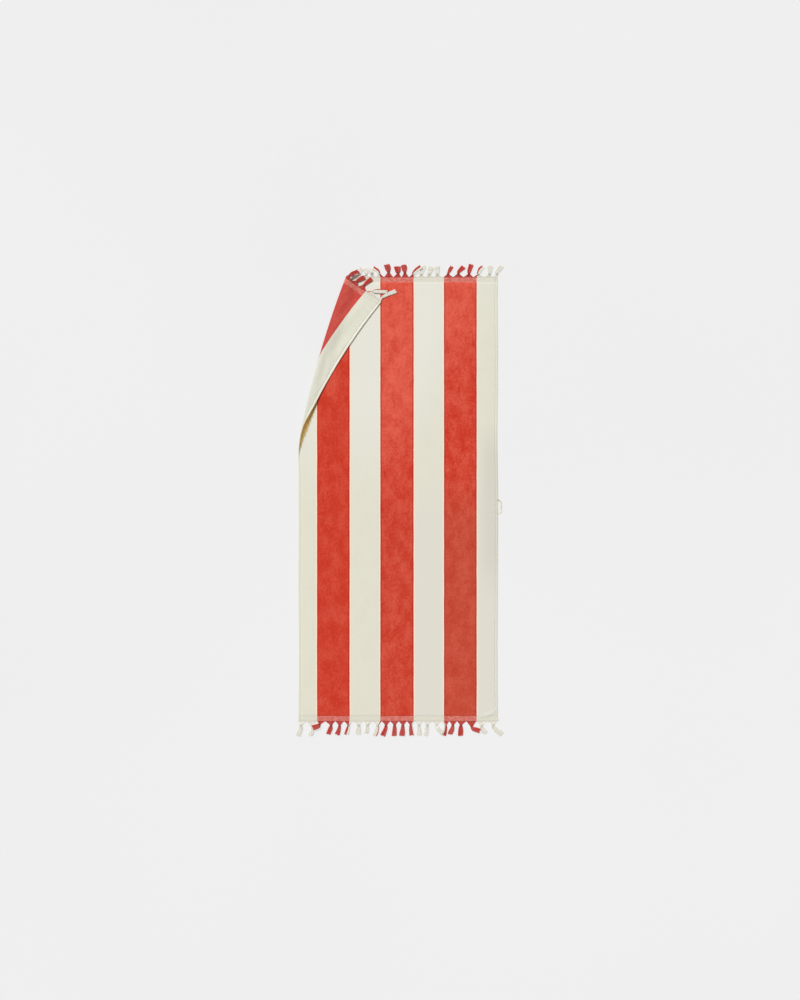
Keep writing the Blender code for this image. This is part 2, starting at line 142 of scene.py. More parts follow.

# Creases: soft ridges of the cloth along a line, listed one by one. A negative height is a trough
# where the cloth lies flat, and stands up where it is turned over.
Crease = namedtuple("Crease", "start end width height")
CREASES = table(
    Crease,
    # front, below the flap: the cloth is pushed up where the corner was pulled over
    ((-0.312, 0.414), (-0.282, 0.410), 0.007, 0.0015),
    ((-0.282, 0.410), (-0.240, 0.424), 0.006, 0.0017),
    ((-0.300, 0.470), (-0.235, 0.520), 0.030, 0.0016),
    # right edge by the hanging loop: three short wrinkles
    ((0.372, -0.022), (0.396, -0.016), 0.004, 0.0010),
    ((0.368, -0.044), (0.396, -0.040), 0.005, 0.0012),
    ((0.374, -0.064), (0.396, -0.068), 0.004, 0.0010),
    # bottom right corner: one curved crease
    ((0.318, -0.872), (0.356, -0.866), 0.006, 0.0016),
    ((0.356, -0.866), (0.392, -0.846), 0.006, 0.0016),
    # upper side of the flap
    ((-0.330, 0.640), (-0.350, 0.860), 0.018, -0.0018),
    ((-0.372, 0.600), (-0.392, 0.700), 0.012, -0.0012),
    ((-0.350, 0.595), (-0.372, 0.515), 0.011, 0.0019),
    ((-0.372, 0.515), (-0.378, 0.472), 0.010, 0.0017),
    ((-0.368, 0.590), (-0.388, 0.500), 0.010, -0.0012),
)
CREASE_REACH = 3  # a crease ends this many widths from its line
CREASE_TAPER = 0.35  # it is this much lower at the ends of its line
SWELL_HEIGHT = 0.0010  # the cloth rises and falls this much where nothing holds it flat
SWELL_SIZE = 0.16
SWELL_LONG = 0.6  # the swells are longer along the towel than across
SWELL_PLACE = 0.37  # picks one pattern of swells
SWELL_EDGE = 0.05  # they fade out over this
SWELL_FOLD = 0.02  # the cloth lies flat this far from the fold line

# The fringe: a backing strip along each end, and tassels gathered from it into knots
JOIN_GAP = 0.0003
CORNER_SPAN = 0.1995  # the folded corner's part of the top end
STRIP_WIDTH = 0.0024  # only the last picks of the weave; the gathers' roots cover the rest
STRIP_THICK = 0.0018
STRIP_STEP = 0.002
STRIP_ROWS = 4
STRIP_RIBS = 2
STRIP_RIB = 0.00018  # how far a rib stands out
STRIP_ROUND = 0.0004  # its long edges are this much lower
# painted shade on the backing strip at the fringe's roots
STRIP_PAINTED_SHADE = 0.1
GATHER_INSET = 0.0006
NECK_WIDTH = 0.0060
REST_GAP = 0.0004
FLAP_REST = PILE_THICK + FLAP_CLEAR - REST_GAP
LOCKS = 3  # the solids' tails have three locks, so a tail is this many spreads wide
LOCK_ROOT = 0.42  # share of the tail's width at the knot
LOCK_BELLY = 1.1  # and at its bend
TAIL_BEND = 0.32  # how straight a tail leaves its knot before it turns to its tip
TAIL_BEND_FLAP = 0.12
LIFT_SHARE = 0.45  # a tail that lies over its neighbour has risen to its full lift by this share
FLAP_DYE_SHIFT = 0.008  # the flap's last cream tassel takes in the first red yarns

# A tassel: where its knot is along the end, from the left edge, and how far out of the end; the
# same for its tip; a third of its tail's width; and how far the tail is lifted over what it crosses
Tassel = namedtuple("Tassel", "knot drop tip reach spread lift", defaults=(0.0,))
FLAP_TASSELS = table(
    Tassel,
    (0.006, 0.016, -0.021, 0.067, 0.0052, 0.0008),
    (0.052, 0.015, 0.004, 0.046, 0.0052, 0.0030),
    (0.098, 0.017, 0.092, 0.056, 0.0056),
    (0.131, 0.016, 0.117, 0.046, 0.0060),
    (0.170, 0.017, 0.153, 0.051, 0.0060),
)
TOP_TASSELS = table(
    Tassel,
    (0.246, 0.013, 0.258, 0.038, 0.0055),
    (0.272, 0.012, 0.275, 0.038, 0.0055),
    (0.296, 0.012, 0.281, 0.033, 0.0050, 0.0062),
    (0.324, 0.016, 0.299, 0.040, 0.0050),
    (0.362, 0.021, 0.353, 0.053, 0.0078),
    (0.400, 0.017, 0.396, 0.046, 0.0088),
    (0.427, 0.020, 0.421, 0.051, 0.0072),
    (0.459, 0.012, 0.493, 0.043, 0.0050, 0.0062),
    (0.492, 0.012, 0.507, 0.048, 0.0055),
    (0.524, 0.012, 0.533, 0.045, 0.0070),
    (0.556, 0.012, 0.555, 0.046, 0.0070),
    (0.599, 0.014, 0.615, 0.046, 0.0060),
    (0.640, 0.015, 0.664, 0.043, 0.0060),
    (0.683, 0.014, 0.694, 0.053, 0.0060),
    (0.720, 0.013, 0.740, 0.044, 0.0055),
    (0.765, 0.014, 0.767, 0.048, 0.0070),
    (0.794, 0.015, 0.814, 0.048, 0.0065),
)
BOTTOM_TASSELS = table(
    Tassel,
    (0.011, 0.017, 0.000, 0.062, 0.0065),
    (0.058, 0.028, 0.047, 0.060, 0.0055),
    (0.086, 0.014, 0.057, 0.028, 0.0076, 0.0072),
    (0.132, 0.017, 0.119, 0.055, 0.0062),
    (0.166, 0.018, 0.155, 0.057, 0.0058),
    (0.202, 0.017, 0.191, 0.056, 0.0052),
    (0.242, 0.017, 0.239, 0.056, 0.0065),
    (0.277, 0.017, 0.272, 0.051, 0.0055),
    (0.318, 0.018, 0.304, 0.060, 0.0060),
    (0.352, 0.017, 0.337, 0.061, 0.0062),
    (0.386, 0.017, 0.384, 0.061, 0.0064),
    (0.419, 0.017, 0.415, 0.061, 0.0065),
    (0.451, 0.017, 0.455, 0.060, 0.0062),
    (0.483, 0.017, 0.484, 0.060, 0.0058),
    (0.516, 0.017, 0.508, 0.060, 0.0058),
    (0.553, 0.018, 0.578, 0.051, 0.0060, 0.0062),
    (0.590, 0.017, 0.583, 0.060, 0.0055),
    (0.619, 0.017, 0.606, 0.055, 0.0060),
    (0.651, 0.017, 0.648, 0.061, 0.0068),
    (0.694, 0.025, 0.728, 0.041, 0.0060, 0.0050),
    (0.733, 0.021, 0.752, 0.050, 0.0058),
    (0.779, 0.018, 0.817, 0.055, 0.0068),
)

# Yarns: their radius, the sides and rings of their mesh, and their twist for each metre
Strand = namedtuple("Strand", "radius sides steps turn")
GATHER = Strand(0.0011, 6, 7, 900.0)
WRAP = Strand(0.00145, 7, 18, 420.0)
TAIL = Strand(0.0018, 8, 18, 2 * math.pi / 0.011)
PLY_LOBE = 0.17  # how far the two plies of a yarn stand out of its round
REST_RISE = 1.28  # a yarn's middle is this many radii above what it rests on
YARN_LOT = 10  # each yarn has its own place in a lot of this many metres
YARN_SHARP = math.radians(70)
RED_DYE = 0.95
CREAM_DYE = 0.04
DYE_UNEVEN = 0.06
STRIP_RED_DYE = 1.25
STRIP_CREAM_DYE = 0.12
GATHER_YARNS = 18
GATHER_PINCH = 1.15  # how early the fan draws in on its way to the knot
GATHER_UNEVEN = 0.0012  # a gathered yarn may lie this much higher than the next
GATHER_SETTLE = 1.4  # how early it comes from the strip's height to its own
WRAP_YARNS = 3
WRAP_TURNS = 1.15
WRAP_BEGIN = 1.15  # in half turns
WRAP_UNEVEN = 0.4
WRAP_ROOT = 0.7  # the wrapped yarns come from this far inside the gather, in yarns
WRAP_OUTER = 0.88  # size of the outer wraps beside the middle one
WRAP_PITCH = 0.0022
WRAP_WIDE = 0.0036
WRAP_HIGH = 0.0017
WRAP_LEAN = 0.0022  # a wrap runs this far along the tassel from one side to the other
# painted shade on the wrapped yarns of the knot
WRAP_PAINTED_SHADE = 0.30
KNOT_MIDDLE = WRAP_HIGH + WRAP.radius
KNOT_PAINTED_SHADE = 0.9  # painted shade on the yarns at the knot
KNOT_SHADE_FROM = 0.55
ROOT_PAINTED_SHADE = 0.35  # and at the roots by the strip
ROOT_SHADE_RUN = 0.25
TAIL_YARNS = 12
TAIL_MARGIN = 0.6  # the yarns share out a tail's width less this much of a yarn
TAIL_LAYER = 0.0016  # from the lower layer of a tail's yarns to the upper one
TAIL_CLOSE = 0.35  # the layers are this much closer at the tip
TAIL_WAVE = 0.0007
TAIL_WAVES = (0.7, 1.4)  # a tail yarn has from this many waves to this many
TAIL_PARTING = 0.0005  # a tail parts into two locks, each this far from its middle line
PARTING_UNEVEN = 0.2
TAIL_UNEVEN = 0.0045  # a yarn may end this much short of the tassel's tip
TAIL_OUT = 0.6  # share of the knot's height at which a tail leaves it
# the painted shade fades from the knot down the tail over this share
TAIL_SHADE_RUN = 0.30
TAIL_SLIM = 0.92  # fullness of a tail yarn at the knot, what it gains, and what it loses at its end
TAIL_GAIN = 0.16
TAIL_LOSS = 0.22
TAIL_LOSS_FROM = 0.93

# The hanging loop: a narrow tape in a flat D on the right edge
LOOP_TOP = -0.0032
LOOP_BOTTOM = -0.0560
LOOP_PROUD = 0.0138
LOOP_ROUND = 0.45
TAPE_WIDTH = 0.0085
TAPE_THICK = 0.0012
TAPE_LEAN = math.radians(48)
TAPE_STEPS = 72
TAPE_ROWS = 10
TAPE_TUCK = 0.006
TAPE_REST = 0.0002
TAPE_LONGER = 1.4  # the tape is this many times as long as the way between its ends
PATH_STEP = 0.01

# Stitches of the hems and of the tape's two bar tacks
STITCH_PITCH = 0.0045
STITCH_SIZE = Vector((0.0009, 0.0034, 0.0008))
STITCH_SINK = 0.0002
TACK_STITCHES = 9
TACK_SIZE = Vector((0.0055, 0.0007, 0.0007))
TACK_PITCH = 0.0007
STITCH_SHARP = math.radians(80)

# Finishes
STRIPE_WAVER = 0.0022  # how far a stripe's border strays
BAND_WAVER = 0.0016
BAND_THREAD = 0.0014  # from thread to thread
TAPE_THREAD = 0.0009
Relief = namedtuple("Relief", "distance strength")
PILE_RELIEF = Relief(0.0012, 0.30)
LOOP_RELIEF = Relief(0.0014, 0.6)
BAND_RELIEF = Relief(0.0005, 0.6)
YARN_RELIEF = Relief(0.0004, 0.8)
TAPE_RELIEF = Relief(0.0003, 0.7)

# Where the velour's shade changes, in metres from the middle of the towel
LEFT_RISE = (-0.18, -0.08)  # across: livelier from the left stripe to the middle one
HEAD_RISE = (-0.06, 0.42)  # along: paler towards the head
HEAD_SLANT = -1.7  # which starts further up on the right half
LEFT_HEAD_RISE = (0.36, 0.52)  # the left stripe is paler at its top as well
LEFT_HEAD_SIDE = (-0.22, -0.27)
FOOT_FALL = (0.15, -0.15)  # along: duller towards the foot
LEFT_DULL = (-0.20, -0.08)  # across: the foot's red is duller to the right
RIGHT_DULL = (0.0, 0.25)
RIGHT_HEAD = (0.1, 0.35)  # across: the head's cream is less pale to the right
FOOT_SIDE = (-0.15, 0.15)  # across: the foot's cream is duller to the right
SLOPE_SHADE_TOP = (0.34, 0.16)  # painted shade: the right edge's cream is darker between these, standing in for a slope away from the light
SLOPE_SHADE_FOOT = (-0.42, -0.20)
SLOPE_SHADE_SIDE = (0.30, 0.37)
RED_RIM = (0.002, 0.0065)  # the red is deeper this near its border
CREAM_RIM = (-0.0062, -0.0035)  # and the cream is tinged

# Camera: straight above, its view as high as the photograph's 1000 pixels at 4 mm a pixel
VIEW_HEIGHT = 4.0
VIEW_CENTRE = Vector((0.0085, -0.0032))
LENS = 85.0
SENSOR = 36.0

# Light
SUN_ELEVATION = math.radians(50)
SUN_SIDE = math.radians(131)  # where the light comes from, anticlockwise from +X: the upper left
SUN_SOFT = math.radians(2.5)
SUN_STRENGTH = 2.50
SKY_STRENGTH = 0.38
BACKDROP_STRENGTH = 0.86  # what the camera sees past the floor's far edge
FLOOR_SIZE = 400.0
FLOOR_GLOW = 0.75  # share of the floor's brightness that is its own, as of a lit white table
FLOOR_DROP = 0.0003  # the floor lies this far under the towel


def tone(red, green, blue):
    """A colour as a screen shows it, 0 to 255, in the linear values that materials use."""

    def linear(value):
        value /= 255
        return value / 12.92 if value <= 0.04045 else ((value + 0.055) / 1.055) ** 2.4

    return (linear(red), linear(green), linear(blue), 1.0)


RED_DEEP = tone(203, 54, 34)
RED_PLAIN = tone(208, 94, 82)
RED_PALE = tone(230, 101, 81)
RED_DULL = tone(186, 67, 45)
RED_DULL_PALE = tone(203, 91, 70)
RED_BORDER = tone(176, 44, 30)
RED_REVERSE = tone(229, 104, 92)
RED_REVERSE_DEEP = tone(204, 72, 62)
# painted shade where the back turns round the roll
RED_ROLL_PAINTED_SHADE = tone(192, 74, 68)
RED_BAND = tone(232, 146, 134)
RED_YARN = tone(214, 66, 56)
RED_YARN_DEEP = tone(168, 36, 34)
# painted shade of the red yarn at knots and roots
RED_YARN_PAINTED_SHADE = tone(104, 14, 16)
CREAM_PLAIN = tone(228, 225, 207)
CREAM_PALE = tone(229, 226, 210)
CREAM_DEEP = tone(225, 222, 204)
CREAM_HEAD = tone(232, 230, 218)
CREAM_FOOT = tone(225, 222, 209)
# painted shade on the right edge's cream
CREAM_SLOPE_PAINTED_SHADE = tone(217, 214, 200)
# painted highlight on the turned hem's fold
CREAM_HEM_PAINTED_HIGHLIGHT = tone(244, 239, 222)
CREAM_BORDER = tone(255, 226, 206)
# painted shade: golden tints of the cream in the roll's open end, the second for the part out in the
# light
CREAM_NOOK_PAINTED_SHADE = tone(250, 210, 124)
CREAM_NOOK_PAINTED_SHADE_LIT = tone(172, 142, 80)
CREAM_REVERSE = tone(236, 234, 218)
CREAM_REVERSE_DEEP = tone(229, 227, 209)
# painted shade where the back turns round the roll
CREAM_ROLL_PAINTED_SHADE = tone(217, 217, 203)
CREAM_BAND = tone(230, 227, 213)
CREAM_YARN = tone(240, 239, 229)
CREAM_YARN_DEEP = tone(224, 223, 209)
# painted shade of the cream yarn at knots and roots
CREAM_YARN_PAINTED_SHADE = tone(186, 184, 164)
FLOOR_COLOR = tone(238, 238, 238)
FLOOR_COLOR_PALE = tone(240, 240, 240)


# ---- shape of the laid towel


def smooth(share):
    """0 to 1 with a level start and end."""
    share = min(max(share, 0.0), 1.0)
    return share * share * (3 - 2 * share)


def ease(value, start, end):
    """0 to 1, with a level start and end, while the value goes from start to end."""
    return smooth((value - start) / (end - start))


def edge_shift(along):
    """How far the left and the right edge run out at this place along the towel."""
    for low, high in zip(SIDES, SIDES[1:]):
        if along <= high.along or high is SIDES[-1]:
            share = min(max((along - low.along) / (high.along - low.along), 0.0), 1.0)
            left = low.left + (high.left - low.left) * share
            right = low.right + (high.right - low.right) * share
            return left, right


def roll_radius(run):
    """The roll narrows from the top edge, and slackens again to its open end."""
    tighter = (ROLL_RADIUS_LOW - ROLL_RADIUS_START) * smooth(run / ROLL_LOW_RUN)
    slack = ease(run, ROLL_LOW_RUN, ROLL_END_RUN)
    return ROLL_RADIUS_START + tighter + (ROLL_RADIUS_END - ROLL_RADIUS_LOW) * slack


def fold_bow(run):
    """How far the fold line stands out of its straight, to the corner's side."""
    run = min(run, FOLD_RUN)
    bow = FOLD_BOW * (1 - ((run - FOLD_BOW_RUN) / FOLD_BOW_RUN) ** 2)
    return bow - FOLD_TURN * max(run - FOLD_TURN_START, 0.0) ** 2


def roll_section(over, radius):
    """The back of the cloth, this far past the fold line: reach, height and direction."""
    half_turn = math.pi * radius
    if over < half_turn:
        angle = over / radius
        rise = radius * (1 - math.cos(angle))
        return radius * math.sin(angle), rise, Vector((math.cos(angle), math.sin(angle)))
    share = min((over - half_turn) / FLAP_SETTLE, 1.0)
    fall = FLAP_TOP - 2 * radius
    slope = fall * 6 * share * (1 - share) / FLAP_SETTLE
    return half_turn - over, 2 * radius + fall * smooth(share), Vector((-1, slope)).normalized()


def past_fold(across, along):
    """Run down the fold line, distance past it on the corner's side, and the line's own bow there."""
    flat = Vector((across, along)) - FOLD_START
    run = flat.dot(FOLD_DOWN)
    bow = fold_bow(run)
    return run, flat.dot(FOLD_OUT) - bow, bow


def fold(point):
    """A point of the towel laid flat, where it lies once the corner is folded over."""
    run, over, bow = past_fold(point.x, point.y)
    if over <= 0:
        return point.copy()
    reach, height, way = roll_section(over, roll_radius(run))
    reach += bow - way.y * point.z
    height += way.x * point.z
    place = FOLD_START + FOLD_DOWN * run + FOLD_OUT * reach
    return Vector((place.x, place.y, height))


def crease_lift(across, along):
    """How far the hand-placed creases lift the cloth here."""
    lift = 0.0
    spot = Vector((across, along))
    for crease in CREASES:
        start = Vector(crease.start)
        line = Vector(crease.end) - start
        share = min(max((spot - start).dot(line) / line.length_squared, 0.0), 1.0)
        away = (spot - start - line * share).length / crease.width
        if away < CREASE_REACH:
            taper = 1 - CREASE_TAPER * abs(2 * share - 1) ** 2
            lift += crease.height * taper * math.exp(-away * away)
    return lift


def swell(across, along):
    """The gentle rise and fall of cloth that lies loose, flat at its edges and under the flap."""
    room = min(HALF_WIDTH - abs(across), HALF_LENGTH - abs(along)) / SWELL_EDGE
    _, over, _ = past_fold(across, along)
    room = min(room, (-over - SWELL_FOLD) / SWELL_EDGE)
    if room <= 0:
        return 0.0
    wave = noise.noise(Vector((across, along * SWELL_LONG, SWELL_PLACE)) / SWELL_SIZE)
    return SWELL_HEIGHT * smooth(room) * (0.5 + wave)


def lay(point):
    """Where a point of the flat towel lies: long edges run out, creased and folded."""
    spot = point.copy()
    if abs(spot.y) < HALF_LENGTH:
        spot.z += crease_lift(spot.x, spot.y) + swell(spot.x, spot.y)
    if HALF_WIDTH - abs(spot.x) < HEM_ZONE:
        left, right = edge_shift(spot.y)
        spot.x += right if spot.x > 0 else -left
    return fold(spot)


def nook_painted_shade(across, along):
    """How strongly the front gets the painted shade at the roll's open end, and whether that is past
    the flap's shadow.
    """
    run, over, _ = past_fold(across, along)
    ends = smooth((run - NOOK_RUN[0]) / NOOK_EASE) * smooth((NOOK_RUN[1] - run) / NOOK_EASE)
    rim = ease(HALF_WIDTH - abs(across), *NOOK_RIM)
    inside = over + NOOK_REACH - NOOK_CLOSE * (run - NOOK_RUN[0])
    return rim * ends * smooth(inside / NOOK_BLUR), ease(inside, *NOOK_LIT)


def hem_painted_shade(across, along):
    """How strongly the turned hem on the back gets the painted shade, by the open end of the roll."""
    run, _, _ = past_fold(across, along)
    begin = ease(run, *NOOK_HEM_RUN)
    end = smooth((NOOK_RUN[1] - run) / NOOK_EASE)
    at_hem = across < 0 and HALF_WIDTH + across < HEM_STITCH
    return NOOK_HEM_SHARE * begin * end if at_hem else 0.0


def roll_painted_shade_share(across, along):
    """How much painted shade the back gets: 1 where the cloth turns round the roll, 0 where it lies
    flat.
    """
    run, over, _ = past_fold(across, along)
    turned = over / (math.pi * roll_radius(run))
    return ease(turned, ROLL_SHADE_SHARES[1], ROLL_SHADE_SHARES[0]) if over > 0 else 0.0


def is_red(across):
    """Whether the stripe at this distance from the left edge is red."""
    return any(left < across < right for left, right in RED_STRIPES)


# ---- mesh helpers


def cut(bm, place, normal):
    """Splits the faces near a plane along it."""

    def is_near(face):
        return abs((face.calc_center_median() - place).dot(normal)) < GRID_STEP

    near = list(filter(is_near, bm.faces))
    edges = {edge for face in near for edge in face.edges}
    verts = {vert for face in near for vert in face.verts}
    bmesh.ops.bisect_plane(
        bm, geom=[*near, *edges, *verts], dist=1e-6, plane_co=place, plane_no=normal
    )


def flat_grid(left, right, bottom, top, columns, rows):
    """An open rectangle in the floor's plane."""
    bm = bmesh.new()
    bmesh.ops.create_grid(bm, x_segments=columns, y_segments=rows, size=0.5)
    bmesh.ops.scale(bm, vec=(right - left, top - bottom, 1), verts=bm.verts)
    bmesh.ops.translate(bm, vec=((left + right) / 2, (bottom + top) / 2, 0), verts=bm.verts)
    return bm


def thicken(bm, thickness):
    """Makes a flat sheet a closed slab from z = 0 up."""
    bmesh.ops.solidify(bm, geom=bm.faces[:], thickness=thickness)
    for vert in bm.verts:
        vert.co.z = thickness if abs(vert.co.z) > thickness / 2 else 0.0
    if bm.calc_volume(signed=True) < 0:
        bmesh.ops.reverse_faces(bm, faces=bm.faces[:])


def mirror(bm, vec):
    """Mirrors a mesh, its faces still pointing outwards."""
    bmesh.ops.scale(bm, vec=vec, verts=bm.verts)
    bmesh.ops.reverse_faces(bm, faces=bm.faces[:])


def to_mesh(name, bm):
    mesh = bpy.data.meshes.new(name)
    bm.to_mesh(mesh)
    bm.free()
    return mesh


def join_shape(bm, shape):
    """Adds a finished shape to a larger mesh."""
    mesh = to_mesh("shape", shape)
    bm.from_mesh(mesh)
    bpy.data.meshes.remove(mesh)


def add_object(name, data):
    thing = bpy.data.objects.new(name, data)
    bpy.context.scene.collection.objects.link(thing)
    return thing


def make_piece(name, bm, materials, sharp_angle):
    """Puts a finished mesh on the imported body."""
    mesh = to_mesh(name, bm)
    mesh.shade_smooth()
    mesh.set_sharp_from_angle(angle=sharp_angle)
    for material in materials:
        mesh.materials.append(material)
    piece = add_object(name, mesh)
    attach(piece, "root")
    return piece


# ---- node helpers

VECTOR = "NodeSocketVector"
FLOAT = "NodeSocketFloat"


class Board:
    """Adds nodes to a tree. A value is a number, a colour or another node's output."""

    def __init__(self, tree):
        self.tree = tree

    def feed(self, socket, value):
        if isinstance(value, bpy.types.NodeSocket):
            self.tree.links.new(value, socket)
        else:
            socket.default_value = value

    def node(self, kind, values=(), **settings):
        node = self.tree.nodes.new(kind)
        for name, setting in settings.items():
            setattr(node, name, setting)
        for socket, value in dict(values).items():
            self.feed(node.inputs[socket], value)
        return node

    def math(self, operation, first, second=0.0, clamp=False):
        values = {0: first, 1: second}
        return self.node("ShaderNodeMath", values, operation=operation, use_clamp=clamp).outputs[0]

    def plus(self, first, second, clamp=False):
        return self.math("ADD", first, second, clamp)

    def minus(self, first, second):
        return self.math("SUBTRACT", first, second)

    def times(self, first, second):
        return self.math("MULTIPLY", first, second)

    def total(self, *parts):
        """The sum of values, each with its own weight."""
        result = None
        for value, weight in parts:
            part = self.times(value, weight)
            result = part if result is None else self.plus(result, part)
        return result

    def split(self, vector):
        return self.node("ShaderNodeSeparateXYZ", {0: vector}).outputs

    def ramp(self, value, low, high, to_low=0.0, to_high=1.0):
        """Runs smoothly from one value to another while the input goes from low to high."""
        values = {"Value": value, "From Min": low, "From Max": high}
        values.update({"To Min": to_low, "To Max": to_high})
        node = self.node("ShaderNodeMapRange", values, interpolation_type="SMOOTHSTEP")
        return node.outputs[0]

    def noise(self, vector, scale, detail=2.0, roughness=0.5):
        values = {"Vector": vector, "Scale": scale, "Detail": detail, "Roughness": roughness}
        return self.node("ShaderNodeTexNoise", values).outputs[0]

    def scaled(self, vector, by):
        values = {0: vector, 1: by}
        return self.node("ShaderNodeVectorMath", values, operation="MULTIPLY").outputs[0]

    def grain(self, vector, spots, detail=2.0, roughness=0.5):
        """Noise with this many spots to the metre, across, along and up."""
        return self.noise(self.scaled(vector, spots), 1.0, detail, roughness)

    def mix(self, factor, first, second):
        node = self.node("ShaderNodeMix", data_type="RGBA")
        self.feed(node.inputs[0], factor)
        self.feed(node.inputs[6], first)
        self.feed(node.inputs[7], second)
        return node.outputs[2]

    def group(self, tree, **values):
        node = self.node("ShaderNodeGroup", node_tree=tree)
        for name, value in values.items():
            self.feed(node.inputs[name], value)
        return node.outputs

    def attribute(self, name):
        return self.node("ShaderNodeAttribute", attribute_name=name).outputs


def new_group(name, inputs, outputs):
    """A shader node group with named sockets."""
    tree = bpy.data.node_groups.new(name, "ShaderNodeTree")
    for label, kind in inputs.items():
        tree.interface.new_socket(label, in_out="INPUT", socket_type=kind)
    for label in outputs:
        tree.interface.new_socket(label, in_out="OUTPUT", socket_type=FLOAT)
    given = tree.nodes.new("NodeGroupInput").outputs
    result = tree.nodes.new("NodeGroupOutput").inputs
    return Board(tree), given, result, tree


# ---- shared effects


def stripe_group():
    """Depth inside the red stripes in metres, below zero on cream, with wavering borders."""
    board, given, result, tree = new_group(
        "stripe_dye", {"Flat": VECTOR, "Waver": FLOAT}, ("Red", "Depth")
    )
    place = board.split(given["Flat"])
    slow = board.grain(given["Flat"], (3.0, 9.0, 0.0), 2.0)
    quick = board.grain(given["Flat"], (60.0, 240.0, 0.0), 2.0)
    shake = board.minus(board.plus(slow, board.times(quick, 0.45)), 0.725)
    across = board.plus(place[0], board.times(shake, given["Waver"]))
    depth = -1.0
    for left, right in RED_STRIPES:
        middle = (left + right) / 2 - HALF_WIDTH
        away = board.math("ABSOLUTE", board.minus(across, middle))
        inside = board.minus((right - left) / 2, away)
        depth = board.math("MAXIMUM", depth, inside)
    board.feed(result["Depth"], depth)
    board.feed(result["Red"], board.ramp(depth, -0.0007, 0.0007))
    return tree


def pile_group():
    """Cut pile: brushed patches, faint streaks along the towel, parted specks and the pile's grain."""
    board, given, result, tree = new_group(
        "brushed_pile", {"Flat": VECTOR}, ("Brushed", "Parted", "Height")
    )
    flat = given["Flat"]
    wide = board.grain(flat, (21.0, 14.0, 0.0), 4.0, 0.62)
    narrow = board.grain(flat, (105.0, 80.0, 0.0), 3.0, 0.65)
    tuft = board.grain(flat, (290.0, 200.0, 0.0), 2.0, 0.5)
    streak = board.grain(flat, (210.0, 24.0, 0.0), 3.0, 0.55)
    grain = board.grain(flat, (820.0, 640.0, 0.0), 2.0, 0.6)
    brushed = board.total((wide, 0.38), (narrow, 0.24), (tuft, 0.20), (streak, 0.10), (grain, 0.08))
    board.feed(result["Brushed"], board.ramp(brushed, 0.36, 0.64))
    board.feed(result["Parted"], board.ramp(board.total((tuft, 0.55), (narrow, 0.45)), 0.40, 0.28))
    height = board.total((narrow, 0.3), (tuft, 0.4), (grain, 0.4), (streak, 0.2))
    board.feed(result["Height"], height)
    return tree


def loop_group():
    """Terry loops, in rows across the towel."""
    board, given, result, tree = new_group("terry_loops", {"Flat": VECTOR}, ("Top", "Height"))
    flat = given["Flat"]
    values = {"Vector": board.scaled(flat, (620.0, 480.0, 0.0)), "Scale": 1.0, "Randomness": 0.75}
    loops = board.node("ShaderNodeTexVoronoi", values).outputs["Distance"]
    crest = board.ramp(loops, 0.1, 0.75, 1.0, 0.0)
    clump = board.grain(flat, (120.0, 90.0, 0.0), 3.0, 0.6)
    top = board.total((crest, 0.55), (clump, 0.45))
    board.feed(result["Top"], board.ramp(top, 0.25, 0.75))
    board.feed(result["Height"], top)
    return tree


def weave_group():
    """Plain weave with ribs across: threads every Pitch metres, uneven like spun cotton."""
    board, given, result, tree = new_group(
        "plain_weave", {"Flat": VECTOR, "Pitch": FLOAT}, ("Thread", "Height")
    )
    uneven = board.grain(given["Flat"], (90.0, 320.0, 90.0), 2.0, 0.6)
    place = board.split(given["Flat"])
    waves = []
    for axis in (0, 1):
        turns = board.math("DIVIDE", place[axis], given["Pitch"])
        turns = board.plus(turns, board.times(uneven, 0.5))
        waves.append(board.math("SINE", board.times(turns, math.pi)))
    crossing = board.times(waves[0], waves[1])
    height = board.math("ABSOLUTE", crossing)
    board.feed(result["Thread"], board.total((height, 0.6), (uneven, 0.4)))
    board.feed(result["Height"], height)
    return tree


def fibre_group():
    """Spun fibres that follow a yarn's own twist. Yarn is the place in the yarn, untwisted."""
    board, given, result, tree = new_group("spun_fibre", {"Yarn": VECTOR}, ("Fibre", "Height"))
    strand = board.grain(given["Yarn"], (1500.0, 1500.0, 160.0), 3.0, 0.65)
    clump = board.grain(given["Yarn"], (500.0, 500.0, 120.0), 2.0, 0.5)
    fibre = board.total((strand, 0.6), (clump, 0.4))
    board.feed(result["Fibre"], board.ramp(fibre, 0.3, 0.7))
    board.feed(result["Height"], fibre)
    return tree


# ---- materials


def new_material(name, roughness, sheen):
    """A soft, dull material, and the board that its nodes go on."""
    material = bpy.data.materials.new(name)
    material.use_nodes = True
    board = Board(material.node_tree)
    shader = material.node_tree.nodes["Principled BSDF"]
    values = {"Roughness": roughness, "Specular IOR Level": 0.1}
    values.update({"Sheen Weight": sheen, "Sheen Roughness": 0.6})
    for name, value in values.items():
        shader.inputs[name].default_value = value
    return material, board, shader


def give_surface(board, shader, color, height, relief):
    """Gives a material its colour and, from a height, its fine relief."""
    board.feed(shader.inputs["Base Color"], color)
    values = {"Height": height, "Distance": relief.distance, "Strength": relief.strength}
    board.feed(shader.inputs["Normal"], board.node("ShaderNodeBump", values).outputs[0])


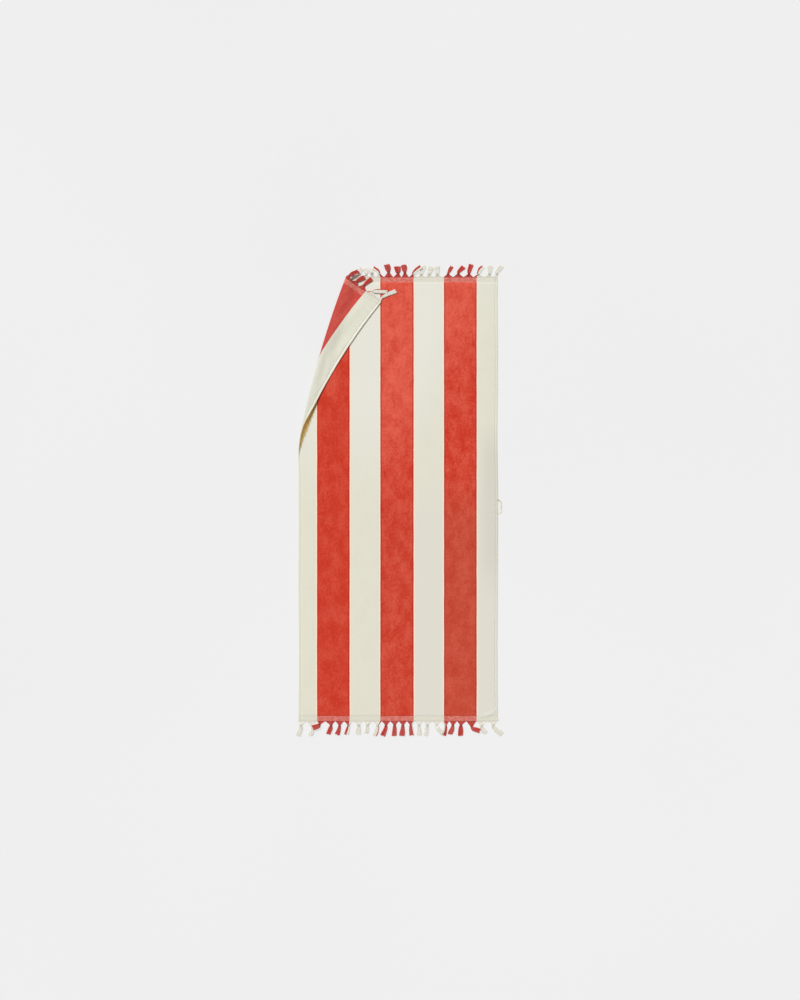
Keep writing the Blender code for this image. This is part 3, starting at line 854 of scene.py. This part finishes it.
def velour_material(stripes, pile):
    """The front: cut pile, red stripes on cream, paler at the towel's head, duller at its foot."""
    material, board, shader = new_material("striped_velour", roughness=0.95, sheen=0.05)
    flat = board.attribute("flat")["Vector"]
    across, along, _ = board.split(flat)
    dye = board.group(stripes, Flat=flat, Waver=STRIPE_WAVER)
    brush = board.group(pile, Flat=flat)
    right_side = board.math("MAXIMUM", across, 0.0)
    head = board.ramp(board.total((along, 1.0), (right_side, HEAD_SLANT)), *HEAD_RISE)
    foot = board.ramp(along, *FOOT_FALL)

    lively = board.ramp(across, *LEFT_RISE, 0.72, 0.98)
    mottle = board.times(board.minus(brush["Brushed"], 0.5), lively)
    left_head = board.ramp(along, *LEFT_HEAD_RISE, 0.0, 0.36)
    lift = board.times(head, board.ramp(across, *LEFT_RISE, 0.0, 0.45))
    lift = board.plus(lift, board.times(left_head, board.ramp(across, *LEFT_HEAD_SIDE)))
    base = board.ramp(across, *LEFT_RISE, 0.17, 0.26)
    lit = board.plus(board.plus(lift, base), mottle, clamp=True)
    red = board.mix(lit, RED_DEEP, RED_PALE)
    dull = board.mix(board.plus(mottle, 0.5, clamp=True), RED_DULL, RED_DULL_PALE)
    duller = board.ramp(across, *RIGHT_DULL, 0.18, 0.75)
    duller = board.times(duller, board.ramp(across, *LEFT_DULL, 0.3, 1.0))
    red = board.mix(board.times(foot, duller), red, dull)
    red = board.mix(board.times(brush["Parted"], 0.5), red, RED_BORDER)
    near_border = board.ramp(dye["Depth"], *RED_RIM, 0.9, 0.0)
    red = board.mix(near_border, red, RED_BORDER)

    cream = board.mix(brush["Brushed"], CREAM_DEEP, CREAM_PALE)
    headward = board.times(head, board.ramp(across, *RIGHT_HEAD, 1.0, 0.4))
    cream = board.mix(headward, cream, CREAM_HEAD)
    cream = board.mix(board.times(foot, board.ramp(across, *FOOT_SIDE)), cream, CREAM_FOOT)
    # painted shade on the right edge's cream, between the head and the foot
    laid = board.times(board.ramp(along, *SLOPE_SHADE_TOP), board.ramp(along, *SLOPE_SHADE_FOOT))
    laid = board.times(laid, board.ramp(across, *SLOPE_SHADE_SIDE))
    cream = board.mix(laid, cream, CREAM_SLOPE_PAINTED_SHADE)
    near_red = board.ramp(dye["Depth"], *CREAM_RIM)
    cream = board.mix(near_red, cream, CREAM_BORDER)
    # painted highlight on the turned hem's fold
    cream = board.mix(board.attribute("hem")["Fac"], cream, CREAM_HEM_PAINTED_HIGHLIGHT)
    # painted shade at the roll's open end
    nook_shade_color = board.mix(board.attribute("nook_painted_shade_lit")["Fac"], CREAM_NOOK_PAINTED_SHADE, CREAM_NOOK_PAINTED_SHADE_LIT)
    cream = board.mix(board.attribute("nook_painted_shade")["Fac"], cream, nook_shade_color)
    give_surface(board, shader, board.mix(dye["Red"], cream, red), brush["Height"], PILE_RELIEF)
    return material


def reverse_material(stripes, loops):
    """The back: uncut loops in the same stripes, with painted shade where the cloth turns round the
    roll.
    """
    material, board, shader = new_material("looped_reverse", roughness=1.0, sheen=0.05)
    flat = board.attribute("flat")["Vector"]
    dye = board.group(stripes, Flat=flat, Waver=STRIPE_WAVER)
    pile = board.group(loops, Flat=flat)
    patch = board.grain(flat, (38.0, 16.0, 0.0), 3.0, 0.6)
    uneven = board.total((pile["Top"], 0.55), (board.ramp(patch, 0.35, 0.65), 0.45))
    # painted shade where the cloth turns round the roll
    roll_painted_shade = board.attribute("roll_painted_shade")["Fac"]
    red = board.mix(roll_painted_shade, board.mix(uneven, RED_REVERSE_DEEP, RED_REVERSE), RED_ROLL_PAINTED_SHADE)
    cream = board.mix(roll_painted_shade, board.mix(pile["Top"], CREAM_REVERSE_DEEP, CREAM_REVERSE), CREAM_ROLL_PAINTED_SHADE)
    give_surface(board, shader, board.mix(dye["Red"], cream, red), pile["Height"], LOOP_RELIEF)
    return material


def band_material(stripes, weave):
    """The flat-woven bands at the ends, where cream weft shows between the red warp."""
    material, board, shader = new_material("woven_band", roughness=0.9, sheen=0.03)
    flat = board.attribute("flat")["Vector"]
    dye = board.group(stripes, Flat=flat, Waver=BAND_WAVER)
    threads = board.group(weave, Flat=flat, Pitch=BAND_THREAD)
    streak = board.ramp(board.grain(flat, (70.0, 110.0, 0.0), 3.0, 0.6), 0.35, 0.65)
    red = board.mix(board.total((threads["Thread"], 0.4), (streak, 0.6)), RED_PLAIN, RED_BAND)
    cream = board.mix(threads["Thread"], CREAM_PLAIN, CREAM_BAND)
    give_surface(board, shader, board.mix(dye["Red"], cream, red), threads["Height"], BAND_RELIEF)
    return material


def yarn_material(fibres):
    """Twisted fringe yarn. Dye is 0 on cream and 1 on red; the painted shade at knots and roots is 1
    where it is darkest.
    """
    material, board, shader = new_material("fringe_yarn", roughness=0.9, sheen=0.04)
    dye = board.attribute("dye")["Fac"]
    painted_yarn_shade = board.attribute("painted_yarn_shade")["Fac"]
    spun = board.group(fibres, Yarn=board.attribute("yarn")["Vector"])
    # painted shade at knots and roots
    red = board.mix(painted_yarn_shade, board.mix(spun["Fibre"], RED_YARN_DEEP, RED_YARN), RED_YARN_PAINTED_SHADE)
    cream = board.mix(painted_yarn_shade, board.mix(spun["Fibre"], CREAM_YARN_DEEP, CREAM_YARN), CREAM_YARN_PAINTED_SHADE)
    give_surface(board, shader, board.mix(dye, cream, red), spun["Height"], YARN_RELIEF)
    return material


def tape_material(weave):
    """The hanging tape: plain-woven cotton."""
    material, board, shader = new_material("woven_tape", roughness=0.85, sheen=0.03)
    threads = board.group(weave, Flat=board.attribute("flat")["Vector"], Pitch=TAPE_THREAD)
    color = board.mix(threads["Thread"], CREAM_DEEP, CREAM_PALE)
    give_surface(board, shader, color, threads["Height"], TAPE_RELIEF)
    return material


def thread_material(fibres):
    """Sewing thread of the hems and the bar tacks."""
    material, board, shader = new_material("sewing_thread", roughness=0.6, sheen=0.0)
    spun = board.group(fibres, Yarn=board.attribute("flat")["Vector"])
    color = board.mix(spun["Fibre"], CREAM_YARN_DEEP, CREAM_PALE)
    board.feed(shader.inputs["Base Color"], color)
    return material


def floor_material():
    material, board, shader = new_material("pale_floor", roughness=1.0, sheen=0.0)
    where = board.node("ShaderNodeTexCoord").outputs["Object"]
    mottle = board.noise(where, 0.4, 2.0)
    color = board.mix(board.ramp(mottle, 0.2, 0.8), FLOOR_COLOR, FLOOR_COLOR_PALE)
    glow = board.mix(FLOOR_GLOW, (0.0, 0.0, 0.0, 1.0), color)
    rest = board.mix(FLOOR_GLOW, color, (0.0, 0.0, 0.0, 1.0))
    board.feed(shader.inputs["Base Color"], rest)
    board.feed(shader.inputs["Emission Color"], glow)
    shader.inputs["Emission Strength"].default_value = 1.0
    return material


# ---- the cloth


def rim_share(across, along):
    """Share of the cloth's thickness left near its edges, which are rounded."""
    inset = min(HALF_WIDTH - abs(across), HALF_LENGTH - abs(along))
    if inset >= RIM_ROUND:
        return 1.0
    bend = 1 - max(inset, 0.0) / RIM_ROUND
    return RIM_SHARE + (1 - RIM_SHARE) * math.sqrt(1 - bend * bend)


def front_height(across, along):
    """Height of the front above the back: pile, end band, hem and the groove of its stitches."""
    band_inset = HALF_LENGTH - abs(along) - BAND_WIDTH
    height = BAND_THICK + (PILE_THICK - BAND_THICK) * smooth(band_inset / BAND_STEP)
    inset = HALF_WIDTH - abs(across)
    if inset < HEM_STITCH:
        height += HEM_PUFF * math.sin(math.pi * inset / HEM_STITCH)
    groove = 1 - abs(inset - HEM_STITCH) / HEM_GROOVE_HALF
    return height - HEM_GROOVE_DEPTH * smooth(groove)


def back_height(across, along):
    """Height of the back: the hem's groove, and the hem that stands out on the flap."""
    inset = HALF_WIDTH - abs(across)
    height = BACK_GROOVE_DEPTH * smooth(1 - abs(inset - HEM_STITCH) / HEM_GROOVE_HALF)
    _, over, _ = past_fold(across, along)
    if inset < HEM_STITCH and over > 0:
        rise = smooth(over / HEM_RAISE_RUN) * smooth((HEM_STITCH - inset) / HEM_RAISE_EASE)
        height -= HEM_RAISE * rise
    return height


def cloth_grid():
    """The sheet's flat mesh, with lines where it steps down, rounds or bends."""
    columns = round(CLOTH_WIDTH / GRID_STEP)
    rows = round(CLOTH_LENGTH / GRID_STEP)
    bm = flat_grid(-HALF_WIDTH, HALF_WIDTH, -HALF_LENGTH, HALF_LENGTH, columns, rows)
    slope_lines = [BAND_WIDTH + BAND_STEP * share for share in SLOPE_CUTS]
    hem_lines = [HEM_STITCH + HEM_GROOVE_HALF * step / 2 for step in range(-2, 3)]
    for side in (-1, 1):
        for inset in (*RIM_CUTS, BAND_WIDTH, BAND_WIDTH + PILE_END, *slope_lines):
            cut(bm, Vector((0, side * (HALF_LENGTH - inset), 0)), Vector((0, 1, 0)))
        for inset in (*RIM_CUTS, *hem_lines):
            cut(bm, Vector((side * (HALF_WIDTH - inset), 0, 0)), Vector((1, 0, 0)))
    normal = FOLD_OUT.to_3d()
    for number in range(ROLL_LINES):
        cut(bm, FOLD_START.to_3d() + normal * (ROLL_STEP * number), normal)
    odd = [face for face in bm.faces if len(face.verts) > 4]
    bmesh.ops.triangulate(bm, faces=odd)
    return bm


def make_cloth(velour, reverse, band):
    bm = cloth_grid()
    thicken(bm, PILE_THICK)
    bm.normal_update()
    for face in bm.faces:
        middle = face.calc_center_median()
        at_band = HALF_LENGTH - abs(middle.y) < BAND_WIDTH + PILE_END
        at_hem = HALF_WIDTH - abs(middle.x) < HEM_STITCH
        if at_band:
            face.material_index = 2
        elif face.normal.z < -0.5 and not at_hem:
            face.material_index = 1
    flat = bm.verts.layers.float_vector.new("flat")
    names = ("nook_painted_shade", "nook_painted_shade_lit", "hem", "roll_painted_shade")
    shade, shade_lit, hem_painted_highlight, roll_painted_shade = (bm.verts.layers.float.new(name) for name in names)
    for vert in bm.verts:
        across, along, height = vert.co
        vert[flat] = vert.co
        # painted shade at the roll's open end, on the front and on the turned hem; on the back also
        # painted shade round the roll and a painted highlight on the hem's fold
        if height > 0:
            vert[shade], vert[shade_lit] = nook_painted_shade(across, along)
        else:
            vert[shade] = hem_painted_shade(across, along)
            vert[shade_lit] = 1.0
            vert[roll_painted_shade] = roll_painted_shade_share(across, along)
            vert[hem_painted_highlight] = ease(HALF_WIDTH - abs(across), *HEM_PAINTED_HIGHLIGHT)
        front = front_height(across, along)
        back = back_height(across, along)
        middle = (front + back) / 2
        half = (front - back) / 2 * rim_share(across, along)
        vert.co.z = middle + half if height > 0 else middle - half
        vert.co = lay(vert.co)
    cloth = make_piece("towel", bm, (velour, reverse, band), CLOTH_SHARP)
    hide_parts("towel_cloth")
    return cloth


# ---- the sewing


def add_stitch(bm, across, along, size, height):
    """One stitch, its middle at this height above the back of the cloth."""
    shape = bmesh.new()
    bmesh.ops.create_uvsphere(shape, u_segments=6, v_segments=4, radius=0.5)
    bmesh.ops.scale(shape, vec=size, verts=shape.verts)
    bmesh.ops.translate(shape, vec=(across, along, height), verts=shape.verts)
    join_shape(bm, shape)


def make_stitches(thread):
    """The hems' stitches on the front and on the back, and the hanging tape's bar tacks."""
    bm = bmesh.new()
    count = int((CLOTH_LENGTH - 2 * STITCH_PITCH) / STITCH_PITCH)
    proud = STITCH_SIZE.z / 2
    for side in (-1, 1):
        across = side * (HALF_WIDTH - HEM_STITCH)
        for number in range(count):
            along = (number - (count - 1) / 2) * STITCH_PITCH
            top = front_height(across, along)
            add_stitch(bm, across, along, STITCH_SIZE, top + proud - STITCH_SINK)
            bottom = back_height(across, along)
            add_stitch(bm, across, along, STITCH_SIZE, bottom - proud + STITCH_SINK)
    across = HALF_WIDTH - HEM_STITCH / 2
    for end in (LOOP_TOP, LOOP_BOTTOM):
        for number in range(TACK_STITCHES):
            along = end + (number - (TACK_STITCHES - 1) / 2) * TACK_PITCH
            top = front_height(across, along)
            add_stitch(bm, across, along, TACK_SIZE, top + TACK_SIZE.z / 2 - STITCH_SINK)
    flat = bm.verts.layers.float_vector.new("flat")
    for vert in bm.verts:
        vert[flat] = vert.co
        vert.co = lay(vert.co)
    return make_piece("hem_stitches", bm, (thread,), STITCH_SHARP)


# ---- the fringe


def tube_template(strand):
    """A closed tube of radius 1 and length 1 along z, with rings between its ends."""
    bm = bmesh.new()
    bmesh.ops.create_cone(
        bm, cap_ends=True, segments=strand.sides, radius1=1.0, radius2=1.0, depth=1.0
    )
    long_edges = [edge for edge in bm.edges if abs(edge.verts[0].co.z - edge.verts[1].co.z) > 0.5]
    bmesh.ops.subdivide_edges(bm, edges=long_edges, cuts=strand.steps - 1, use_grid_fill=True)
    return to_mesh("tube", bm)


def path_frames(path, steps):
    """Places along a path with the two directions square to it, which never spin."""
    spots = [path(step / steps) for step in range(steps + 1)]
    frames = []
    aside = None
    for step, spot in enumerate(spots):
        ahead = (spots[min(step + 1, steps)] - spots[max(step - 1, 0)]).normalized()
        if aside is None:
            aside = Vector((0, 0, 1)).cross(ahead)
        aside = (aside - ahead * aside.dot(ahead)).normalized()
        frames.append((spot, aside, ahead.cross(aside)))
    return frames


def yarn_layers(bm):
    """What the yarn's material reads: dye, painted shade at knots and roots, and place in the yarn."""
    layers = bm.verts.layers
    return layers.float.new("dye"), layers.float.new("painted_yarn_shade"), layers.float_vector.new("yarn")


class Fringe:
    """Makes the tassels of one end. Heights are above what a tassel rests on."""

    def __init__(self, seed, root_height, tail_bend, dye_shift):
        self.random = random.Random(seed)
        self.root_height = root_height
        self.tail_bend = tail_bend
        self.dye_shift = dye_shift
        self.tubes = {strand: tube_template(strand) for strand in (GATHER, WRAP, TAIL)}
        self.bm = bmesh.new()
        yarn_layers(self.bm)

    def add_yarn(self, strand, root, path, painted_yarn_shade, plump=lambda share: 1.0):
        """A two-ply yarn along a path, with the dye of the stripe at its root, a little uneven. The
        last two arguments give its painted shade and how full it is along its length."""
        start = self.random.uniform(0, YARN_LOT)
        dye = RED_DYE if is_red(root + self.dye_shift) else CREAM_DYE
        dye += self.random.uniform(-DYE_UNEVEN, DYE_UNEVEN)
        frames = path_frames(path, strand.steps)
        length = sum((one[0] - other[0]).length for one, other in zip(frames, frames[1:]))
        shape = bmesh.new()
        shape.from_mesh(self.tubes[strand])
        dye_layer, painted_yarn_shade_layer, yarn_layer = yarn_layers(shape)
        for vert in shape.verts:
            share = vert.co.z + 0.5
            spot, aside, up = frames[round(share * strand.steps)]
            angle = math.atan2(vert.co.y, vert.co.x)
            twist = angle - strand.turn * share * length + start
            size = strand.radius * plump(share) * (1 + PLY_LOBE * math.cos(2 * twist))
            size *= math.hypot(vert.co.x, vert.co.y)
            vert[dye_layer] = dye
            vert[painted_yarn_shade_layer] = painted_yarn_shade(share)
            ply = (strand.radius * math.cos(twist), strand.radius * math.sin(twist))
            vert[yarn_layer] = (*ply, share * length + start)
            vert.co = spot + (aside * math.cos(angle) + up * math.sin(angle)) * size
        join_shape(self.bm, shape)

    def add_gather(self, tassel, left, right):
        """The warp yarns drawn together from the cloth's end to the knot."""
        middle = (left + right) / 2
        rest = GATHER.radius * REST_RISE
        for number in range(GATHER_YARNS):
            side = (number + 0.5) / GATHER_YARNS - 0.5
            over = self.random.uniform(0.0, GATHER_UNEVEN)

            def path(share):
                pinch = (1 - share) ** GATHER_PINCH
                centre = middle + (tassel.knot - middle) * smooth(share)
                width = NECK_WIDTH + (right - left - NECK_WIDTH) * pinch
                settle = smooth(share * GATHER_SETTLE)
                high = self.root_height + (rest + over - self.root_height) * settle
                high += (KNOT_MIDDLE - rest) * share ** 3
                out = STRIP_WIDTH / 2 + (tassel.drop - STRIP_WIDTH / 2) * share
                return Vector((centre + side * width, out, high))

            # painted shade at the root and at the knot
            def painted_yarn_shade(share):
                at_root = ROOT_PAINTED_SHADE * (1 - smooth(share / ROOT_SHADE_RUN))
                return max(at_root, KNOT_PAINTED_SHADE * ease(share, KNOT_SHADE_FROM, 1))

            self.add_yarn(GATHER, middle + side * (right - left), path, painted_yarn_shade)

    def add_knot(self, tassel, left, right):
        """Yarns wrapped round the neck of the tassel."""
        flip = self.random.choice((-1, 1))
        begin = self.random.uniform(-WRAP_UNEVEN, WRAP_UNEVEN)
        for number in range(WRAP_YARNS):
            root = left + (right - left) * (number + WRAP_ROOT) / (WRAP_YARNS - 1 + 2 * WRAP_ROOT)
            row = (number - (WRAP_YARNS - 1) / 2) * WRAP_PITCH
            grow = 1.0 if number == (WRAP_YARNS - 1) // 2 else WRAP_OUTER

            def path(share):
                angle = math.pi * (WRAP_BEGIN + begin) + share * WRAP_TURNS * 2 * math.pi
                across = tassel.knot + flip * grow * WRAP_WIDE * math.cos(angle)
                out = tassel.drop + row + WRAP_LEAN * math.cos(angle) * flip
                high = WRAP_HIGH + WRAP.radius * REST_RISE + grow * WRAP_HIGH * math.sin(angle)
                return Vector((across, out, high))

            # the wraps get an even painted shade
            self.add_yarn(WRAP, root, path, lambda share: WRAP_PAINTED_SHADE)

    def add_tail(self, tassel, left, right):
        """The loose ends below the knot, in two layers."""
        knot = Vector((tassel.knot, tassel.drop))
        tip = Vector((tassel.tip, tassel.reach))
        aside = (tip - knot).orthogonal().normalized()
        if aside.x < 0:
            aside = -aside
        width = tassel.spread * LOCKS - 2 * TAIL.radius * TAIL_MARGIN
        parting = self.random.uniform(-PARTING_UNEVEN, PARTING_UNEVEN)
        for number in (*range(0, TAIL_YARNS, 2), *range(1, TAIL_YARNS, 2)):
            side = (number + 0.5) / TAIL_YARNS - 0.5
            layer = number % 2
            cut_short = self.random.uniform(0, TAIL_UNEVEN)
            sway = self.random.uniform(-1, 1)
            phase = self.random.uniform(0, 2 * math.pi)
            waves = self.random.uniform(*TAIL_WAVES)
            shift = aside * width * side
            apart = aside * math.copysign(TAIL_PARTING, side - parting)
            end = tip + shift + apart - (tip - knot).normalized() * cut_short
            end += aside * sway * TAIL_WAVE
            bend = knot + Vector((0, (tassel.reach - tassel.drop) * self.tail_bend))
            bend += shift * LOCK_BELLY

            def path(share):
                begin = knot + shift * LOCK_ROOT
                spot = begin.lerp(bend, share).lerp(bend.lerp(end, share), share)
                wave = math.sin(phase + share * waves * 2 * math.pi) * TAIL_WAVE * smooth(share * 2)
                spot = spot + aside * wave
                high = TAIL.radius * REST_RISE
                high += layer * TAIL_LAYER * (1 - TAIL_CLOSE * smooth(share * 1.1 - 0.1))
                high += tassel.lift * smooth(share / LIFT_SHARE)
                high += (KNOT_MIDDLE - TAIL.radius) * (1 - smooth(share * 3)) * TAIL_OUT
                return Vector((spot.x, spot.y, high))

            def plump(share):
                full = TAIL_SLIM + TAIL_GAIN * smooth(share * 1.2)
                return full - TAIL_LOSS * ease(share, TAIL_LOSS_FROM, 1)

            # painted shade under the knot, fading down the tail
            def painted_yarn_shade(share):
                return KNOT_PAINTED_SHADE * (1 - smooth(share / TAIL_SHADE_RUN))

            self.add_yarn(TAIL, (left + right) / 2 + side * (right - left), path, painted_yarn_shade, plump)

    def add_tassel(self, tassel, left, right):
        self.add_gather(tassel, left, right)
        self.add_knot(tassel, left, right)
        self.add_tail(tassel, left, right)


def make_strip(left, right):
    """The last picks of the weave, which hold the fringe's roots: a narrow ribbed strip."""
    bm = flat_grid(left, right, 0, STRIP_WIDTH, round((right - left) / STRIP_STEP), STRIP_ROWS)
    thicken(bm, STRIP_THICK)
    dye, painted_yarn_shade, yarn = yarn_layers(bm)
    for vert in bm.verts:
        across, out, height = vert.co
        vert[dye] = STRIP_RED_DYE if is_red(across) else STRIP_CREAM_DYE
        # painted shade at the fringe's roots
        vert[painted_yarn_shade] = STRIP_PAINTED_SHADE
        vert[yarn] = Vector((out, height, across))
        if height > 0:
            vert.co.z += STRIP_RIB * math.cos(out / STRIP_WIDTH * 2 * STRIP_RIBS * math.pi)
            vert.co.z -= STRIP_ROUND if out in (0, STRIP_WIDTH) else 0
    return bm


def make_fringe(name, tassels, left, right, end, seed, yarn):
    """A strip along an end, or part of it, with its tassels. end is 1 at the top, -1 below."""
    on_flap = tassels is FLAP_TASSELS
    root = FLAP_REST - STRIP_THICK / 2 if on_flap else GATHER.radius * REST_RISE
    bend, shift = (TAIL_BEND_FLAP, FLAP_DYE_SHIFT) if on_flap else (TAIL_BEND, 0.0)
    fringe = Fringe(seed, root, bend, shift)
    middles = [(one.knot + other.knot) / 2 for one, other in zip(tassels, tassels[1:])]
    bounds = [left, *middles, right]
    for tassel, low, high in zip(tassels, bounds, bounds[1:]):
        fringe.add_tassel(tassel, low + GATHER_INSET, high - GATHER_INSET)
    bm = fringe.bm
    if on_flap:
        mirror(bm, (1, 1, -1))
        bmesh.ops.translate(bm, vec=(0, 0, FLAP_REST), verts=bm.verts)
    join_shape(bm, make_strip(left, right))
    bmesh.ops.translate(bm, vec=(-HALF_WIDTH, HALF_LENGTH + JOIN_GAP, 0), verts=bm.verts)
    if end < 0:
        mirror(bm, (1, -1, 1))
    for vert in bm.verts:
        vert.co = fold(vert.co)
    return make_piece(name, bm, (yarn,), YARN_SHARP)


# ---- the hanging loop


def loop_path(share):
    """The tape's middle line in the floor's plane: out from the edge, along it and back."""
    middle = (LOOP_TOP + LOOP_BOTTOM) / 2
    half = (LOOP_TOP - LOOP_BOTTOM) / 2
    place = 2 * share - 1
    rise = min((1 - abs(place)) / LOOP_ROUND, 1.0)
    return Vector((LOOP_PROUD * math.sin(rise * math.pi / 2), middle - half * place))


def make_tape(material):
    edge = HALF_WIDTH + edge_shift(LOOP_TOP)[1]
    bm = flat_grid(-0.5, 0.5, -0.5, 0.5, TAPE_ROWS, TAPE_STEPS)
    flat = bm.verts.layers.float_vector.new("flat")
    ends = TAPE_TUCK / (LOOP_TOP - LOOP_BOTTOM)
    for vert in bm.verts:
        place, share = vert.co.x, (vert.co.y + 0.5) * (1 + 2 * ends) - ends
        vert[flat] = Vector((place * TAPE_WIDTH, share * (LOOP_TOP - LOOP_BOTTOM) * TAPE_LONGER, 0))
        spot = loop_path(share)
        ahead = (loop_path(share + PATH_STEP) - loop_path(share - PATH_STEP)).normalized()
        aside = Vector((-ahead.y, ahead.x))
        inward = (place + 0.5) * TAPE_WIDTH
        spot += aside * inward * math.sin(TAPE_LEAN)
        spot.x -= TAPE_WIDTH * math.sin(TAPE_LEAN)
        vert.co = Vector((edge + spot.x, spot.y, inward * math.cos(TAPE_LEAN)))
    bmesh.ops.recalc_face_normals(bm, faces=bm.faces[:])
    bmesh.ops.solidify(bm, geom=bm.faces[:], thickness=TAPE_THICK)
    lowest = min(vert.co.z for vert in bm.verts)
    bmesh.ops.translate(bm, vec=(0, 0, TAPE_REST - lowest), verts=bm.verts)
    made = bmesh.ops.bisect_plane(
        bm,
        geom=[*bm.verts, *bm.edges, *bm.faces],
        dist=1e-6,
        plane_co=(edge + JOIN_GAP, 0, 0),
        plane_no=(-1, 0, 0),
        clear_outer=True,
    )
    rim = [item for item in made["geom_cut"] if isinstance(item, bmesh.types.BMEdge)]
    bmesh.ops.holes_fill(bm, edges=rim)
    bmesh.ops.recalc_face_normals(bm, faces=bm.faces[:])
    tape = make_piece("hang_tape", bm, (material,), CLOTH_SHARP)
    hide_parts("hang_loop")
    return tape


# ---- floor, light and camera


def make_floor():
    half = FLOOR_SIZE / 2
    mesh = to_mesh("floor", flat_grid(-half, half, -half, half, 1, 1))
    mesh.materials.append(floor_material())
    floor = add_object("floor", mesh)
    floor.location.z = -FLOOR_DROP
    return floor


def make_light():
    sun = bpy.data.lights.new("window_light", "SUN")
    sun.energy = SUN_STRENGTH
    sun.angle = SUN_SOFT
    lamp = add_object("window_light", sun)
    lamp.rotation_mode = "QUATERNION"
    level = math.cos(SUN_ELEVATION)
    way = Vector((level * math.cos(SUN_SIDE), level * math.sin(SUN_SIDE), math.sin(SUN_ELEVATION)))
    lamp.rotation_quaternion = way.to_track_quat("Z", "Y")
    world = bpy.data.worlds.new("studio")
    world.use_nodes = True
    board = Board(world.node_tree)
    sky = world.node_tree.nodes["Background"]
    seen = board.node("ShaderNodeLightPath").outputs["Is Camera Ray"]
    backdrop = board.times(seen, BACKDROP_STRENGTH - SKY_STRENGTH)
    sky.inputs["Color"].default_value = (1.0, 1.0, 1.0, 1.0)
    board.feed(sky.inputs["Strength"], board.plus(backdrop, SKY_STRENGTH))
    bpy.context.scene.world = world


def make_camera():
    lens = bpy.data.cameras.new("camera")
    lens.lens = LENS
    lens.sensor_width = SENSOR
    camera = add_object("camera", lens)
    camera.location = (*VIEW_CENTRE, VIEW_HEIGHT * LENS / SENSOR)
    bpy.context.scene.camera = camera
    bpy.context.scene.view_settings.view_transform = "Standard"


def main():
    make_camera()
    make_light()
    floor = make_floor()
    stripes = stripe_group()
    weave = weave_group()
    fibres = fibre_group()
    velour = velour_material(stripes, pile_group())
    reverse = reverse_material(stripes, loop_group())
    cloth = make_cloth(velour, reverse, band_material(stripes, weave))
    stitches = make_stitches(thread_material(fibres))
    yarn = yarn_material(fibres)
    corner_end = CORNER_SPAN - JOIN_GAP
    corner = make_fringe("corner_fringe", FLAP_TASSELS, 0, corner_end, 1, 3, yarn)
    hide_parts("fringe_corner")
    top = make_fringe("top_fringe", TOP_TASSELS, CORNER_SPAN, CLOTH_WIDTH, 1, 5, yarn)
    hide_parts("fringe_top")
    bottom = make_fringe("bottom_fringe", BOTTOM_TASSELS, 0, CLOTH_WIDTH, -1, 8, yarn)
    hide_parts("fringe_bottom")
    tape = make_tape(tape_material(weave))


main()
